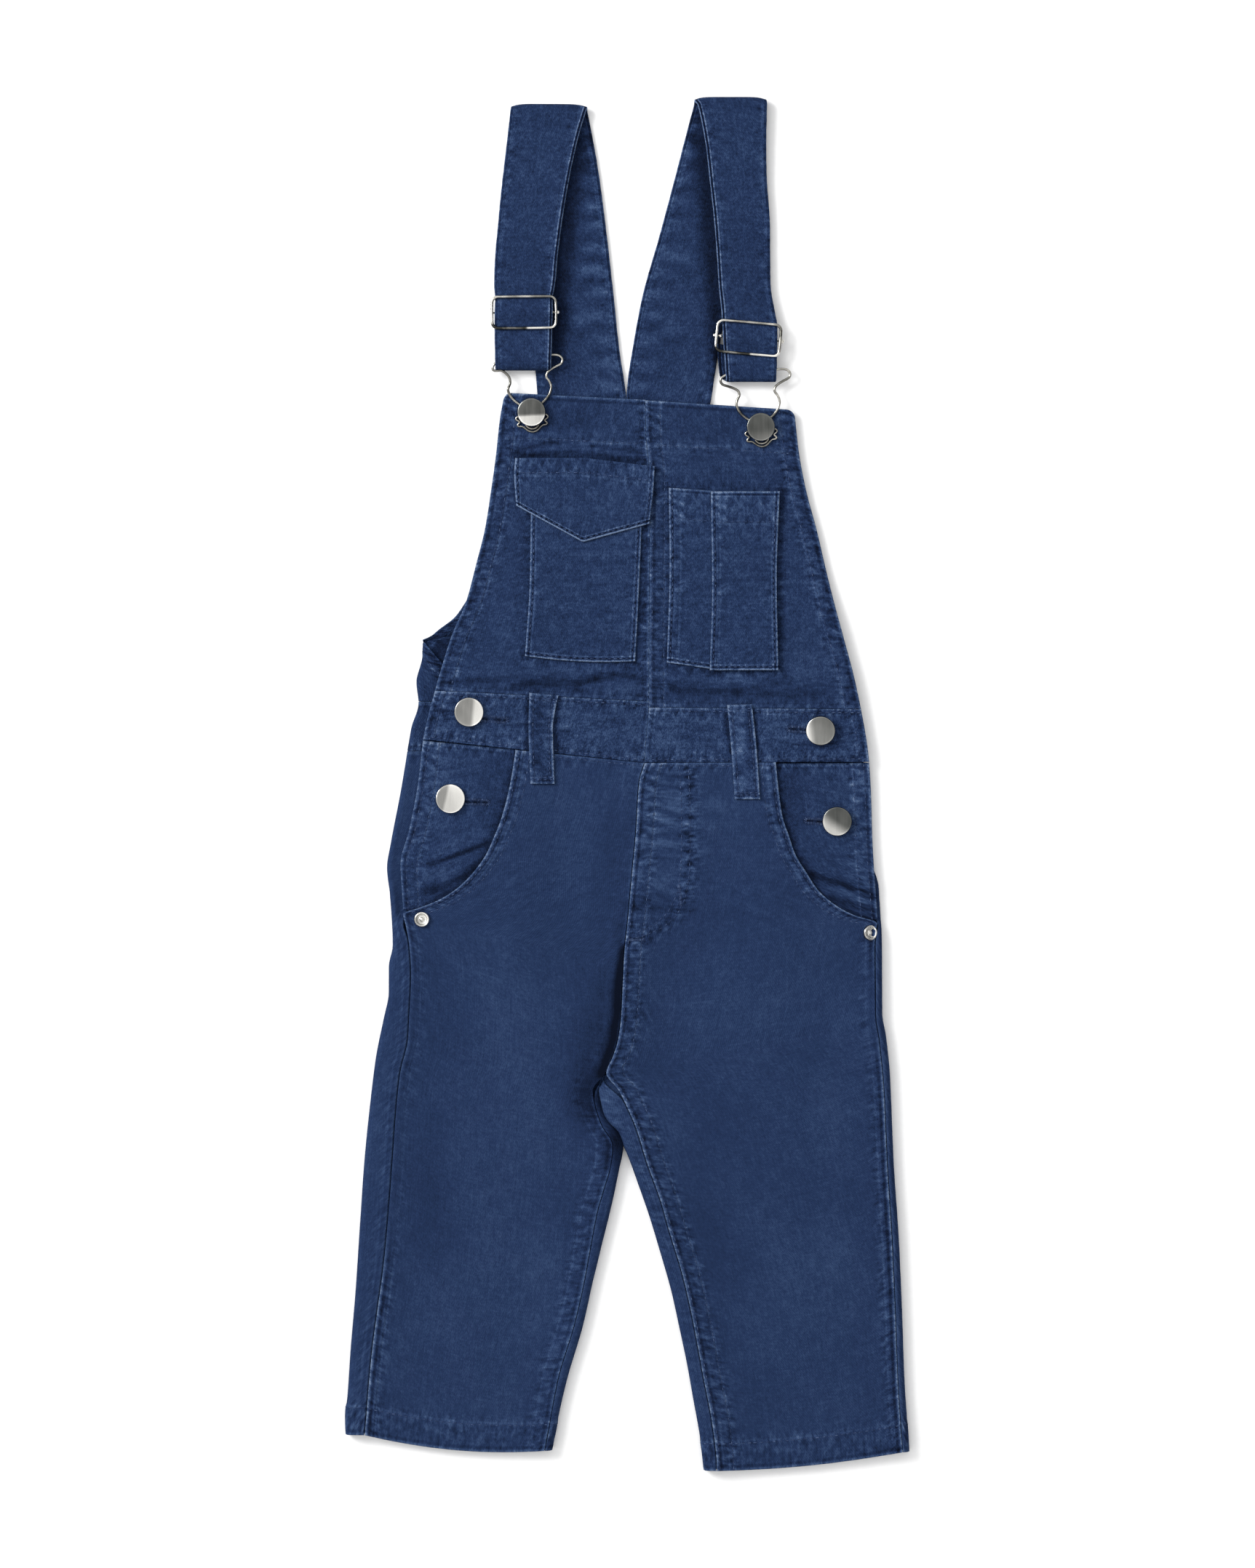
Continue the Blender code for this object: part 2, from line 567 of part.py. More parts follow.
def make_straps():
    # Rows: left x, left y, right x, right y, height of the middle of the cloth.
    strap(
        "strap_l",
        (
            (-45.3, 190.2, -0.6, 190.2, 0.8), (-46, 200, -0.8, 199, 0.8), (-47.7, 220, -4, 220, 0.8),
            (-50.3, 250, -7.2, 250, 0.8), (-53, 280, -10.6, 280, 0.8), (-56, 312, -14.8, 312, 0.8),
            (-59.3, 342.3, -20.4, 342, 0.8),
        ),
        (
            (-59.5, 342.3, -21, 342, 4.2), (-61.5, 325, -26, 325, 3.9), (-63.8, 306, -30, 306, 3.2),
            (-65.6, 288, -33, 288, 2.9), (-67.3, 269, -35.5, 269, 3.0), (-67.8, 255, -36.7, 255, 3.8),
            (-67.4, 247.3, -37.9, 247.6, 4.6), (-67.4, 243.2, -38, 243.5, 5.6),
            (-67.5, 239.9, -38, 240.2, 6.5), (-67.5, 236.6, -38.1, 236.9, 5.7),
            (-67.6, 232.4, -38.3, 232.7, 4.6), (-67.5, 225, -38.8, 225, 5.5),
            (-67.3, 218, -39.4, 218, 6.5), (-67.2, 212.8, -39.9, 212.8, 6.2),
        ),
        (
            (-67.2, 212.8, -39.9, 212.8, 2.7), (-67.5, 236, -38.2, 236, 2.7),
        ),
    )
    strap(
        "strap_r",
        (
            (-0.3, 190.2, 41.5, 190.2, 0.8), (-0.4, 200, 43.1, 199, 0.8), (2.3, 220, 46.3, 220, 0.8),
            (8, 250, 51.5, 250, 0.8), (16.5, 280, 57.5, 280, 0.8), (25, 312, 64, 312, 0.8),
            (34, 346.4, 70.8, 346.7, 0.8),
        ),
        (
            (35.5, 346.4, 71, 346.7, 4.2), (39.8, 325, 70.6, 325, 3.8), (42, 306, 71, 306, 3.2),
            (44, 288, 72.4, 288, 2.9), (45.5, 269, 72.6, 269, 2.9), (46.6, 252, 73, 252, 3.2),
            (47.6, 243, 75, 240, 3.8), (48, 235.8, 76.2, 233.4, 4.6), (48.3, 231.8, 76.2, 229.2, 5.6),
            (48.5, 227.8, 76.2, 225.4, 6.5), (48.7, 224.8, 76.1, 222.3, 5.7),
            (49, 220.6, 76, 217.9, 4.6), (49.4, 216, 75.9, 214.5, 5.9), (49.7, 210.5, 75.8, 211, 6.5),
            (50, 206.8, 75.6, 206.8, 6.3),
        ),
        (
            (50, 206.8, 75.6, 206.8, 2.7), (48.8, 224, 76, 221, 2.7),
        ),
    )


# ---------------------------------------------------------------- hardware


def turned(name, profile, x, y, z, segments=20):
    """A round piece turned from (radius, height) points down its outer side, standing at a point."""
    mesh = bpy.data.meshes.new(name)
    bm = bmesh.new()
    points = [bm.verts.new((radius * MM, 0, height * MM)) for radius, height in profile]
    for above, below in zip(points, points[1:]):
        bm.edges.new((above, below))
    bm.to_mesh(mesh)
    bm.free()
    obj = bpy.data.objects.new(name, mesh)
    obj.location = Vector((x, y, z)) * MM
    turn = obj.modifiers.new("Turn", "SCREW")
    turn.steps = segments
    turn.render_steps = segments
    turn.use_merge_vertices = True
    turn.merge_threshold = 0.00001
    return finish(obj, metal=True)


def resting(x, y, radius, layer=0):
    """The height at which a disc lies just clear of the front."""
    around = [math.radians(30 * k) for k in range(12)]
    rim = (front_top(x + radius * math.cos(a), y + radius * math.sin(a), layer) for a in around)
    return max(front_top(x, y, layer), *rim) + GAP


def shank_button(name, x, y, foot, cap):
    """A flat-capped shank button: foot and cap give the heights of the shank's foot and the
    cap's underside."""
    profile = (
        (0, cap + BUTTON_THICK),
        (BUTTON_RADIUS - 1.8, cap + BUTTON_THICK - 0.15),
        (BUTTON_RADIUS - 0.4, cap + BUTTON_THICK - 0.6),
        (BUTTON_RADIUS, cap + BUTTON_THICK - 1.2),
        (BUTTON_RADIUS - 0.5, cap),
        (SHANK_RADIUS, cap + 0.2),
        (SHANK_RADIUS, foot),
        (0, foot),
    )
    return turned(name, profile, x, y, 0)


def buttonhole(panel_name, x, y):
    """Cuts the round end of a buttonhole, or a tack's hole, where the shank passes through."""
    bm = bmesh.new()
    depth = 30 * MM
    bmesh.ops.create_cone(
        bm,
        cap_ends=True,
        segments=16,
        radius1=HOLE_RADIUS * MM,
        radius2=HOLE_RADIUS * MM,
        depth=depth,
    )
    mesh = bpy.data.meshes.new("hole")
    bm.to_mesh(mesh)
    bm.free()
    cutter = bpy.data.objects.new(f"hole_{panel_name}", mesh)
    cutter.location = (x * MM, y * MM, 0)
    cutter.hide_render = True
    cutter.display_type = "WIRE"
    CUTTERS.objects.link(cutter)
    cut = bpy.data.objects[panel_name].modifiers.new("Hole", "BOOLEAN")
    cut.operation = "DIFFERENCE"
    cut.solver = "EXACT"
    cut.object = cutter


def make_buttons():
    panels = {"upper_l": "waistband_l", "lower_l": "hip_facing_l"}
    panels.update({"upper_r": "waistband_r", "lower_r": "hip_facing_r"})
    for name, (x, y) in SIDE_BUTTONS.items():
        place = name.removeprefix("side_button_")
        layer = -1 if place.startswith("lower") else 0
        buttonhole(panels[place], x, y)
        shank_button(name, x, y, UNDERLAP_TOP + GAP, resting(x, y, BUTTON_RADIUS, layer))
    wire_room = 2 * WIRE_RADIUS + GAP
    for name, half, (x, y) in (
        ("bib_button_l", "bib_l", BIB_BUTTON_L),
        ("bib_button_r", "bib_r", BIB_BUTTON_R),
    ):
        buttonhole(half, x, y)
        foot = front_top(x, y) - DENIM
        shank_button(name, x, y, foot, resting(x, y, BUTTON_RADIUS) + wire_room)
    rivet = (
        (0, 0.9), (0.9, 0.8), (1.3, 0.45), (1.8, 0.45), (2.2, 1.0), (2.8, 1.15), (3.3, 0.8),
        (RIVET_RADIUS, 0), (0, 0),
    )
    for name, (x, y) in (("pocket_rivet_l", RIVET_L), ("pocket_rivet_r", RIVET_R)):
        turned(name, rivet, x, y, front_top(x, y) + outer_lift(y) * 0.8 + 2 * GAP, 16)


def wire(name, points, radius, closed=False):
    """A round wire through points in millimetres."""
    curve = bpy.data.curves.new(name, "CURVE")
    curve.dimensions = "3D"
    curve.bevel_depth = radius * MM
    curve.bevel_resolution = 2
    curve.use_fill_caps = not closed
    spline = curve.splines.new("POLY")
    spline.points.add(len(points) - 1)
    for place, point in zip(spline.points, points):
        place.co = (*(Vector(point) * MM), 1.0)
    spline.use_cyclic_u = closed
    return finish(bpy.data.objects.new(name, curve), metal=True)


def placed(points, x, y, tilt):
    """Points turned by tilt degrees about their origin and moved to (x, y)."""
    cos, sin = math.cos(math.radians(tilt)), math.sin(math.radians(tilt))
    return [(x + px * cos - py * sin, y + px * sin + py * cos, pz) for px, py, pz in points]


def make_slider(side, x, y, tilt):
    corners = []
    for turn, (cx, cy) in enumerate(((1, 1), (-1, 1), (-1, -1), (1, -1))):
        for k in range(4):
            angle = math.pi / 2 * (turn + k / 3)
            corners.append(
                (
                    cx * (SLIDER_HALF_WIDTH - SLIDER_CORNER) + SLIDER_CORNER * math.cos(angle),
                    cy * (SLIDER_HALF_HEIGHT - SLIDER_CORNER) + SLIDER_CORNER * math.sin(angle),
                    SLIDER_HEIGHT,
                )
            )
    wire(f"slider_{side}", placed(corners, x, y, tilt), WIRE_RADIUS, closed=True)

    reach = SLIDER_HALF_WIDTH + 2.6
    ball = 1.15
    end = [
        (ball * math.sin(a), reach - ball * (1 - math.cos(a)))
        for a in (0.0, 0.5, 1.0, 1.57, 2.1)
    ]
    end.append((BAR_RADIUS, reach - 2.2))
    profile = end + [(radius, -height) for radius, height in reversed(end)]
    bar = turned(f"slider_bar_{side}", profile, x, y, BAR_HEIGHT, 10)
    bar.rotation_euler = (0, math.pi / 2, math.radians(tilt))


def make_hook(side, button, tilt):
    x, y = button
    lying = resting(x, y, BUTTON_RADIUS) + WIRE_RADIUS
    bar = HOOK_BAR_HEIGHT
    right = (
        # across, along, height, from the bar in the strap's end to the foot of the loop
        (7, 28.6, bar), (14.6, 28.6, bar), (17.2, 27.4, bar), (18, 24.6, bar), (17, 21.6, bar),
        (13, 20.2, bar), (9.9, 19.3, bar), (8.7, 17.6, bar), (9.8, 15.4, bar - 0.2),
        (10.4, 12.6, lying + 0.1), (9.6, 9.2, lying), (7.4, 6.2, lying), (5.0, 3.8, lying),
        (3.9, 0.8, lying), (3.8, -3, lying), (3.9, -6.2, lying), (2.9, -8.9, lying),
    )
    left = [(-px, py, pz) for px, py, pz in reversed(right)]
    loop = list(right) + [(0, -10.1, lying)] + left
    wire(f"hook_{side}", placed(loop, x, y, tilt), WIRE_RADIUS, True)
    half = ((6.0, -4.0), (7.4, -4.3), (8.3, -5.6), (8.1, -7.2), (6.8, -8.2), (5.8, -8.6), (3.6, -11.3))
    ends = [(px, py, lying) for px, py in half]
    keeper = ends + [(0, -12.3, lying)] + [(-px, py, pz) for px, py, pz in reversed(ends)]
    wire(f"hook_keeper_{side}", placed(keeper, x, y, tilt), WIRE_RADIUS)


def make_hardware():
    make_buttons()
    make_slider("l", *SLIDER_L)
    make_slider("r", *SLIDER_R)
    make_hook("l", BIB_BUTTON_L, HOOK_TILT_L)
    make_hook("r", BIB_BUTTON_R, HOOK_TILT_R)


clear_scene()
PART = collection("baby_dungarees")
CUTTERS = collection("cutters")
make_back()
make_front()
make_patches()
make_straps()
make_hardware()
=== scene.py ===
"""Baby dungarees in washed denim, laid flat on their back with the front up.

+Y runs from the hems to the shoulder folds, +X to the viewer's right and +Z up. Tables and
sizes are in millimetres and become metres in the meshes.
"""

import json
import math

import bmesh
import bpy
from mathutils import Matrix, Vector, noise
from mathutils.bvhtree import BVHTree

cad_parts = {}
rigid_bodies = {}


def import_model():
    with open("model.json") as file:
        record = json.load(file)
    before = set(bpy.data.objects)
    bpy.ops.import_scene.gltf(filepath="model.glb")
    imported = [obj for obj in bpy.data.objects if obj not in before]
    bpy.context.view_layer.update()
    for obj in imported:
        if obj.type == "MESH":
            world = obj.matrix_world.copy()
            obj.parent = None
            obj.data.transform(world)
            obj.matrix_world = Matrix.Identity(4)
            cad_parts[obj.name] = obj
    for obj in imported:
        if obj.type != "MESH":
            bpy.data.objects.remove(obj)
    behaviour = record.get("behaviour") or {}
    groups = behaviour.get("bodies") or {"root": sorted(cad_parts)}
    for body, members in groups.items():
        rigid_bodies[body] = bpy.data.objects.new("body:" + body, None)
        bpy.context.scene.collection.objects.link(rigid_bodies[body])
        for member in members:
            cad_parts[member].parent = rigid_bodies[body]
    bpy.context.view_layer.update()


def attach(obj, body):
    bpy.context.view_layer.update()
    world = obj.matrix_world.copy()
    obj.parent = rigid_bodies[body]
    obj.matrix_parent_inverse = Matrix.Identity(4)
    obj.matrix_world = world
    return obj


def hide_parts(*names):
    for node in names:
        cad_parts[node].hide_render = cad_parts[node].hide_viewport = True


for startup_object in list(bpy.data.objects):
    bpy.data.objects.remove(startup_object, do_unlink=True)
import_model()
MM = 0.001

# ------------------------------------------------------------------ the table it lies on
# A plain white sweep under soft studio light: one broad lamp at the upper left, a weak one that
# fills the shadows, and a pale room that is darker to the right, which the metal picks up.


class Socket:
    """A shader socket that works in Python expressions: each step adds a node."""

    def __init__(self, tree, link=None):
        self.tree, self.link = tree, link

    def node(self, kind, settings=None, inputs=None, output=0):
        made = self.tree.nodes.new("ShaderNode" + kind)
        for name, value in (settings or {}).items():
            if name == "stops":
                stops = made.color_ramp.elements
                while len(stops) < len(value):
                    stops.new(0.5)
                for stop, (position, color) in zip(stops, value):
                    stop.position = position
                    stop.color = (*color, 1.0)
            else:
                setattr(made, name, value)
        for name, value in (inputs or {}).items():
            if isinstance(value, Socket):
                self.tree.links.new(value.link, made.inputs[name])
            else:
                made.inputs[name].default_value = value
        return Socket(self.tree, made.outputs[output])

    def maths(self, operation, first, second=0.0):
        return self.node("Math", {"operation": operation}, {0: first, 1: second})

    def __add__(self, other):
        return self.maths("ADD", self, other)

    def __sub__(self, other):
        return self.maths("SUBTRACT", self, other)

    def __rsub__(self, other):
        return self.maths("SUBTRACT", other, self)

    def __mul__(self, other):
        return self.maths("MULTIPLY", self, other)

    def __abs__(self):
        return self.maths("ABSOLUTE", self)

    __radd__, __rmul__ = __add__, __mul__

    def sine(self):
        return self.maths("SINE", self)

    def clamped(self):
        return self.node("Math", {"operation": "ADD", "use_clamp": True}, {0: self, 1: 0.0})

    def between(self, low, high):
        """0 at low and below, 1 at high and above."""
        settings = {"clamp": True, "interpolation_type": "SMOOTHSTEP"}
        return self.node("MapRange", settings, {"Value": self, "From Min": low, "From Max": high})

    def part(self, index):
        return self.node("SeparateXYZ", None, {0: self}, output=index)

    def along(self, direction):
        """How far a vector reaches in a direction."""
        settings = {"operation": "DOT_PRODUCT"}
        return self.node("VectorMath", settings, {0: self, 1: direction}, output=1)

    def speckle(self, scale, detail=2.0, rough=0.5):
        """Noise about 0, with a number of grains per unit for each axis."""
        at = self.node("VectorMath", {"operation": "MULTIPLY"}, {0: self, 1: scale})
        inputs = {"Vector": at, "Scale": 1.0, "Detail": detail, "Roughness": rough}
        return self.node("TexNoise", None, inputs) - 0.5

    def colored(self, stops):
        return self.node("ValToRGB", {"stops": stops}, {"Fac": self})


def finish(name, constants):
    """A new material, a socket to build it with, and a way to plug a value into its shader."""
    made = bpy.data.materials.new(name)
    made.use_nodes = True
    shader = made.node_tree.nodes["Principled BSDF"]
    for key, value in constants.items():
        shader.inputs[key].default_value = value

    def plug(socket_name, value):
        made.node_tree.links.new(value.link, shader.inputs[socket_name])

    return made, Socket(made.node_tree), plug


def put_in_scene(name, bm, material):
    """The finished object of a bmesh, smooth and in its material."""
    mesh = bpy.data.meshes.new(name)
    bm.to_mesh(mesh)
    bm.free()
    mesh.shade_smooth()
    mesh.materials.append(material)
    piece = bpy.data.objects.new(name, mesh)
    bpy.context.scene.collection.objects.link(piece)
    return piece


# In metres.
TABLE_HALF = 2.0
TABLE_CLEARANCE = 0.0004  # how far the table lies below the cloth
CAMERA_HEIGHT = 2.0
VIEW_LENGTH = 0.7977  # how much of the table the long side of the view takes in
CLOTH_LEVEL = 0.004  # the height that the camera's distance is measured from

floor_white, paper, plug = finish("floor_white", {"Roughness": 0.9, "Specular IOR Level": 0.1})
grain = paper.node("TexCoord", output=3).speckle((400, 400, 400), 3.0)
plug("Base Color", (grain + 0.5).colored(((0.3, (0.93, 0.93, 0.93)), (0.7, (0.95, 0.95, 0.95)))))
bm = bmesh.new()
bmesh.ops.create_grid(bm, x_segments=2, y_segments=2, size=TABLE_HALF)
bmesh.ops.translate(bm, verts=bm.verts[:], vec=(0, 0, -TABLE_CLEARANCE))
floor = put_in_scene("floor", bm, floor_white)

# How bright the room is from below, from above, and besides towards the window; and how much
# darker its ceiling is than its walls.
ROOM_BELOW, ROOM_ABOVE, ROOM_WINDOW, CEILING_SHADE = 0.05, 0.76, 0.66, 0.50
world = bpy.data.worlds.new("studio")
world.use_nodes = True
bpy.context.scene.world = world
sky = Socket(world.node_tree)
direction = sky.node("TexCoord", output=0)
overhead = direction.along((0.0, 0.0, 1.0)).between(0.12, 0.78)
from_window = direction.along((-0.85, 0.5, 0.0)).between(-0.75, 0.75)
ceiling = direction.along((0.0, 0.0, 1.0)).between(0.925, 0.985)
walls = ROOM_ABOVE + from_window * ROOM_WINDOW
brightness = ROOM_BELOW + overhead * walls * (1 - ceiling * CEILING_SHADE)
background = world.node_tree.nodes["Background"]
world.node_tree.links.new(brightness.link, background.inputs["Color"])
background.inputs["Strength"].default_value = 1.0

for lamp_name, place, size, power in (
    ("window", (-1.62, 0.92, 1.32), 0.9, 45.0),
    ("bounce", (0.9, -1.6, 1.9), 1.4, 5.0),
):
    lamp_data = bpy.data.lights.new(lamp_name, "AREA")
    lamp_data.shape = "SQUARE"
    lamp_data.size = size
    lamp_data.energy = power
    lamp = bpy.data.objects.new(lamp_name, lamp_data)
    lamp.location = place
    lamp.rotation_euler = Vector(place).to_track_quat("Z", "Y").to_euler()
    bpy.context.scene.collection.objects.link(lamp)

camera_data = bpy.data.cameras.new("camera")
camera_data.lens = camera_data.sensor_width * CAMERA_HEIGHT / VIEW_LENGTH
camera = bpy.data.objects.new("camera", camera_data)
camera.location = (0, 0, CAMERA_HEIGHT + CLOTH_LEVEL)
bpy.context.scene.collection.objects.link(camera)
bpy.context.scene.camera = camera
bpy.context.scene.view_settings.view_transform = "Standard"

# ------------------------------------------------------------------ back bib and back waistband
# The back is cut from the same washed indigo denim as the front. It lies on the table, and its
# sides roll up over the edges of the body, where their plackets run in under the front.

DENIM = 1.0  # wall of one piece of cloth
GAP = 0.3  # between two pieces that lie on each other
LAYER = DENIM + GAP
FRONT_TOP = 2.9  # height of the front's upper face where one piece lies on the back
HIP_LIFT = 2.2  # how much higher it lies over the hip facings and plackets
HIP_MIDDLE = 8.0
HIP_HALF_WIDTH = 115.0
SWELL = 0.22  # how high the cloth's soft swells are
SWELL_LENGTH = 38
UNDERLAP_TOP = 2.3  # height of the plackets that the side buttons are tacked through
LEG_ROLL = 2.95  # radius of a leg's rolled edge
SEAM_LIFT = 2.8  # how far the side seams and inseams stand up over it
EDGE_ROUND = 0.42  # radius of a folded edge
SEAM_ROUND = 0.16  # radius where an edge runs into a seam
HEM_SOFT = 0.8  # how far to either side a hem's step is rounded off
PUCKER_HEIGHT = 0.26
PUCKER_LONG, PUCKER_SHORT = 6.0, 2.9
PUCKER_FADE = 6  # how far inside a hem its puckers fade out
NO_HEM = (99.0, 99.0, 0.0)  # a hem's distance, depth and wear, where none is near
FADED = 3  # beyond this many times its reach, a soft line adds nothing
TUCKED_WEAR = 0.3  # how worn the lower length of a folded strap is
SAME_PLACE = 0.00002  # in metres: points nearer than this are one

# Seam and edge lines, top to bottom: (y, x).
FRONT_EDGE_L = (
    (199.5, -62.4), (186, -64.9), (167, -67), (149, -69.5), (130, -72.5), (112, -77),
    (93, -82), (75, -89.5), (56, -95.5), (47, -98), (36, -101), (22, -104), (1, -106.5),
    (-23, -111), (-41, -115.5), (-58, -114.5), (-66, -114),
)
FRONT_EDGE_R = (
    (190, 84.9), (169, 87.2), (149, 91), (130, 96.1), (112, 100.3), (93, 104.9), (75, 109.7),
    (56, 114.8), (38, 118.7), (19, 122), (10, 123), (-8, 124), (-26, 124.5), (-45, 125.5),
    (-58, 126.5), (-70.5, 127.3),
)
SIDE_SEAM_L = (
    (-66, -114), (-73, -112.5), (-82, -111), (-97, -110), (-119, -111), (-129, -111.5),
    (-147, -115.5), (-165, -117.5), (-193, -119.5), (-219, -121.5), (-245, -124),
    (-267, -127), (-290, -130), (-306, -131.5), (-331.5, -133.5),
)
SIDE_SEAM_R = (
    (-70.5, 127), (-76, 126), (-85, 125.7), (-100, 125.8), (-118, 126), (-130, 127.8),
    (-156, 130.3), (-193, 132), (-230, 134.3), (-267, 136), (-304, 137.4), (-339.5, 139.8),
)
OUTLINE_L = (
    (70, -104), (63, -104.8), (52, -107.5), (41, -106.5), (29, -110), (17, -112), (-4, -115.5),
    (-30, -120.5), (-43, -122.5), (-56, -121), (-82, -119.5), (-93, -121.5), (-106, -121.5),
    (-119, -124), (-139, -128), (-163, -131), (-193, -134), (-222, -136), (-259, -138.5),
    (-289, -141), (-311, -142.5), (-322, -143.5), (-330.5, -143.2),
)
OUTLINE_R = (
    (70, 107), (56, 111.5), (38, 116), (19, 120), (-8, 122), (-36, 123.6), (-45, 126.2),
    (-52, 127.9), (-58, 128.3), (-66, 128.8), (-82, 129.5), (-117, 129.7), (-128, 131.5),
    (-147, 133.5), (-174, 134.7), (-193, 135.5), (-230, 138), (-267, 139.7), (-304, 141),
    (-319, 142), (-340, 143.2),
)
UNDERLAP_L = (
    (70, -101.5), (63, -95.5), (52, -86), (42, -80), (17, -81), (-4, -83), (-30, -88),
    (-45, -94), (-58, -104), (-66, -112.5), (-73, -114.5),
)
UNDERLAP_R = (
    (70, 104), (63, 99), (52, 95), (17, 93), (-30, 95), (-45, 100), (-58, 112), (-66, 124),
    (-72, 127.5),
)

# Folds and creases of the front, and how much lighter their ridge is washed; a negative amount paints
# shade into a crease's hollow instead.
FOLDS = (
    # x0, y0, x1, y1, half_width, height, washed or painted shade
    (6, -60, -2, -138, 12, 2.0, 0.0),
    (-75, 52, -5, 49, 11, 0.9, 0.0),
    (30, 52, 100, 50, 11, 0.7, 0.0),
    (-26, 173, 4, 177, 10, 0.6, 0.0),
    (-104, -42, -76, -30, 13, 0.5, 0.0),
    (96, -38, 120, -52, 13, 0.5, 0.0),
    (-52, -120, -84, -330, 34, 1.3, 0.0),
    (66, -110, 92, -340, 34, 1.3, 0.0),
    # finer creases that wear has drawn: most have painted shade along their hollow, some are washed
    # paler along a ridge
    (-56.5, 169.5, -38.6, 174.0, 1.2, -0.30, -0.19),
    (-38.6, 174.0, -18, 172.0, 1.3, -0.30, -0.20),
    (-18, 172.0, 5, 169.0, 1.2, -0.30, -0.17),
    (-56, 166.6, -29, 169.2, 1.0, -0.20, -0.17),
    (-29, 169.2, 5, 164.8, 1.1, -0.20, -0.15),
    (-46, 170.6, -20, 171.4, 1.6, 0.30, 0.10),
    (-20, 171.4, 4, 167, 1.5, 0.30, 0.10),
    (-50, 177.5, -10, 177.5, 2.6, 0.30, 0.05),
    (-92, 51.5, -76, 53, 1.1, -0.20, -0.17),
    (-76, 53, -66, 52.2, 1.1, -0.20, -0.15),
    (-90, 57, -64, 57, 3.0, 0.25, 0.05),
    (-60, 49.5, -48, 51.3, 1.5, -0.25, -0.14),
    (-48, 51.3, -25, 50.3, 1.9, -0.35, -0.19),
    (-25, 50.3, -16, 54.0, 1.8, -0.35, -0.19),
    (-16, 54.0, -7, 55.6, 1.7, -0.30, -0.18),
    (-7, 55.6, 3, 54.6, 1.6, -0.25, -0.15),
    (3, 54.6, 9, 51.5, 1.5, -0.20, -0.16),
    (-34, 56.5, -18, 59, 2.2, 0.30, 0.07),
    (-10, 49.5, 5, 49.0, 2.6, 0.35, 0.10),
    (14, 52.5, 24, 49.5, 1.4, -0.20, -0.16),
    (20, 48.2, 56, 46.2, 2.2, -0.30, -0.14),
    (18, 54.0, 50, 51.5, 2.4, 0.30, 0.07),
    (56, 46.2, 98, 45.5, 1.8, -0.20, -0.14),
    (60, 53.0, 106, 58.0, 3.0, 0.30, 0.05),
    (-104, -46.5, -72, -28.5, 2.6, 0.55, 0.04),
    (-101, -41.5, -71.5, -30.0, 1.3, -0.30, -0.34),
    (-103, -52.5, -76, -37.5, 2.4, 0.40, 0.05),
    (-99, -55.0, -77, -43.0, 1.6, -0.25, -0.24),
    (-106, -55.5, -98, -52.0, 2.0, -0.25, -0.22),
    (-88, -30.0, -72, -25.5, 2.4, 0.25, 0.04),
    (96, -42, 125, -51, 2.8, 0.45, 0.04),
    (94, -46, 126, -57, 1.5, -0.28, -0.28),
    (97, -50, 126, -62, 2.2, 0.30, 0.05),
    (104, -57, 126, -66, 1.5, -0.22, -0.20),
    (8, -8, 48, -11, 2.4, 0.30, 0.10),
    (10, -16, 44, -22, 2.6, 0.25, 0.08),
    (6, -28, 40, -34, 3.0, 0.25, 0.07),
    (4, -46, 34, -50, 3.0, 0.22, 0.06),
    (2, -62, 32, -64, 2.6, -0.18, -0.12),
)
# Where the cloth is rumpled into fine wrinkles: how far they reach, the way they run in degrees,
# and how strong they are.
RUMPLES = (
    # x, y, reach_x, reach_y, angle, strength
    (-30, 172, 36, 7, -3, 0.40),
    (-32, 52, 36, 7.5, 0, 0.5),
    (60, 51, 48, 7.5, 0, 0.45),
    (40, 168, 30, 10, -4, 0.35),
    (-38, 31, 40, 11, 1, 0.60),
    (-88, 34, 18, 9, 2, 0.90),
    (45, 26, 38, 11, 0, 0.60),
    (96, 25, 22, 10, -3, 0.95),
    (18, -14, 15, 24, -6, 0.75),
    (16, -56, 15, 15, -18, 0.50),
    (-92, -42, 18, 12, 26, 0.5),
    (-88, 4, 16, 18, 8, 0.35),
    (108, -50, 18, 12, -30, 0.5),
    (102, 2, 16, 16, -8, 0.35),
    (6, -122, 12, 18, -62, 0.45),
    (-20, 110, 34, 46, 0, 0.28),
    (50, 105, 34, 46, 0, 0.28),
    (-60, -55, 30, 14, 24, 0.20),
    (75, -60, 30, 14, -24, 0.20),
)


def clamp(value):
    return min(max(value, 0.0), 1.0)


def ease(start, end, value):
    """0 at the start, 1 at the end, and smooth between them."""
    t = clamp((value - start) / (end - start))
    return t * t * (3 - 2 * t)


def mark_before(marks, reach):
    """Where in a rising list the stretch that holds a reach starts."""
    return max(i for i in range(len(marks) - 1) if i == 0 or marks[i] <= reach)


def across(line, y):
    """x where a line crosses the height y, on a smooth curve that never overshoots its stations."""
    stations = sorted(line)
    y = min(max(y, stations[0][0]), stations[-1][0])
    at = mark_before([station[0] for station in stations], y)

    def slope(i):
        (y0, x0), (y1, x1) = stations[i], stations[i + 1]
        return (x1 - x0) / (y1 - y0)

    def tangent(i):
        if i in (0, len(stations) - 1):
            return slope(min(i, len(stations) - 2))
        before, after = slope(i - 1), slope(i)
        return 0.0 if before * after <= 0 else 2 * before * after / (before + after)

    (y0, x0), (y1, x1) = stations[at], stations[at + 1]
    span = y1 - y0
    t = (y - y0) / span
    start = x0 * (1 + 2 * t) * (1 - t) ** 2 + span * tangent(at) * t * (1 - t) ** 2
    return start + x1 * t * t * (3 - 2 * t) - span * tangent(at + 1) * t * t * (1 - t)


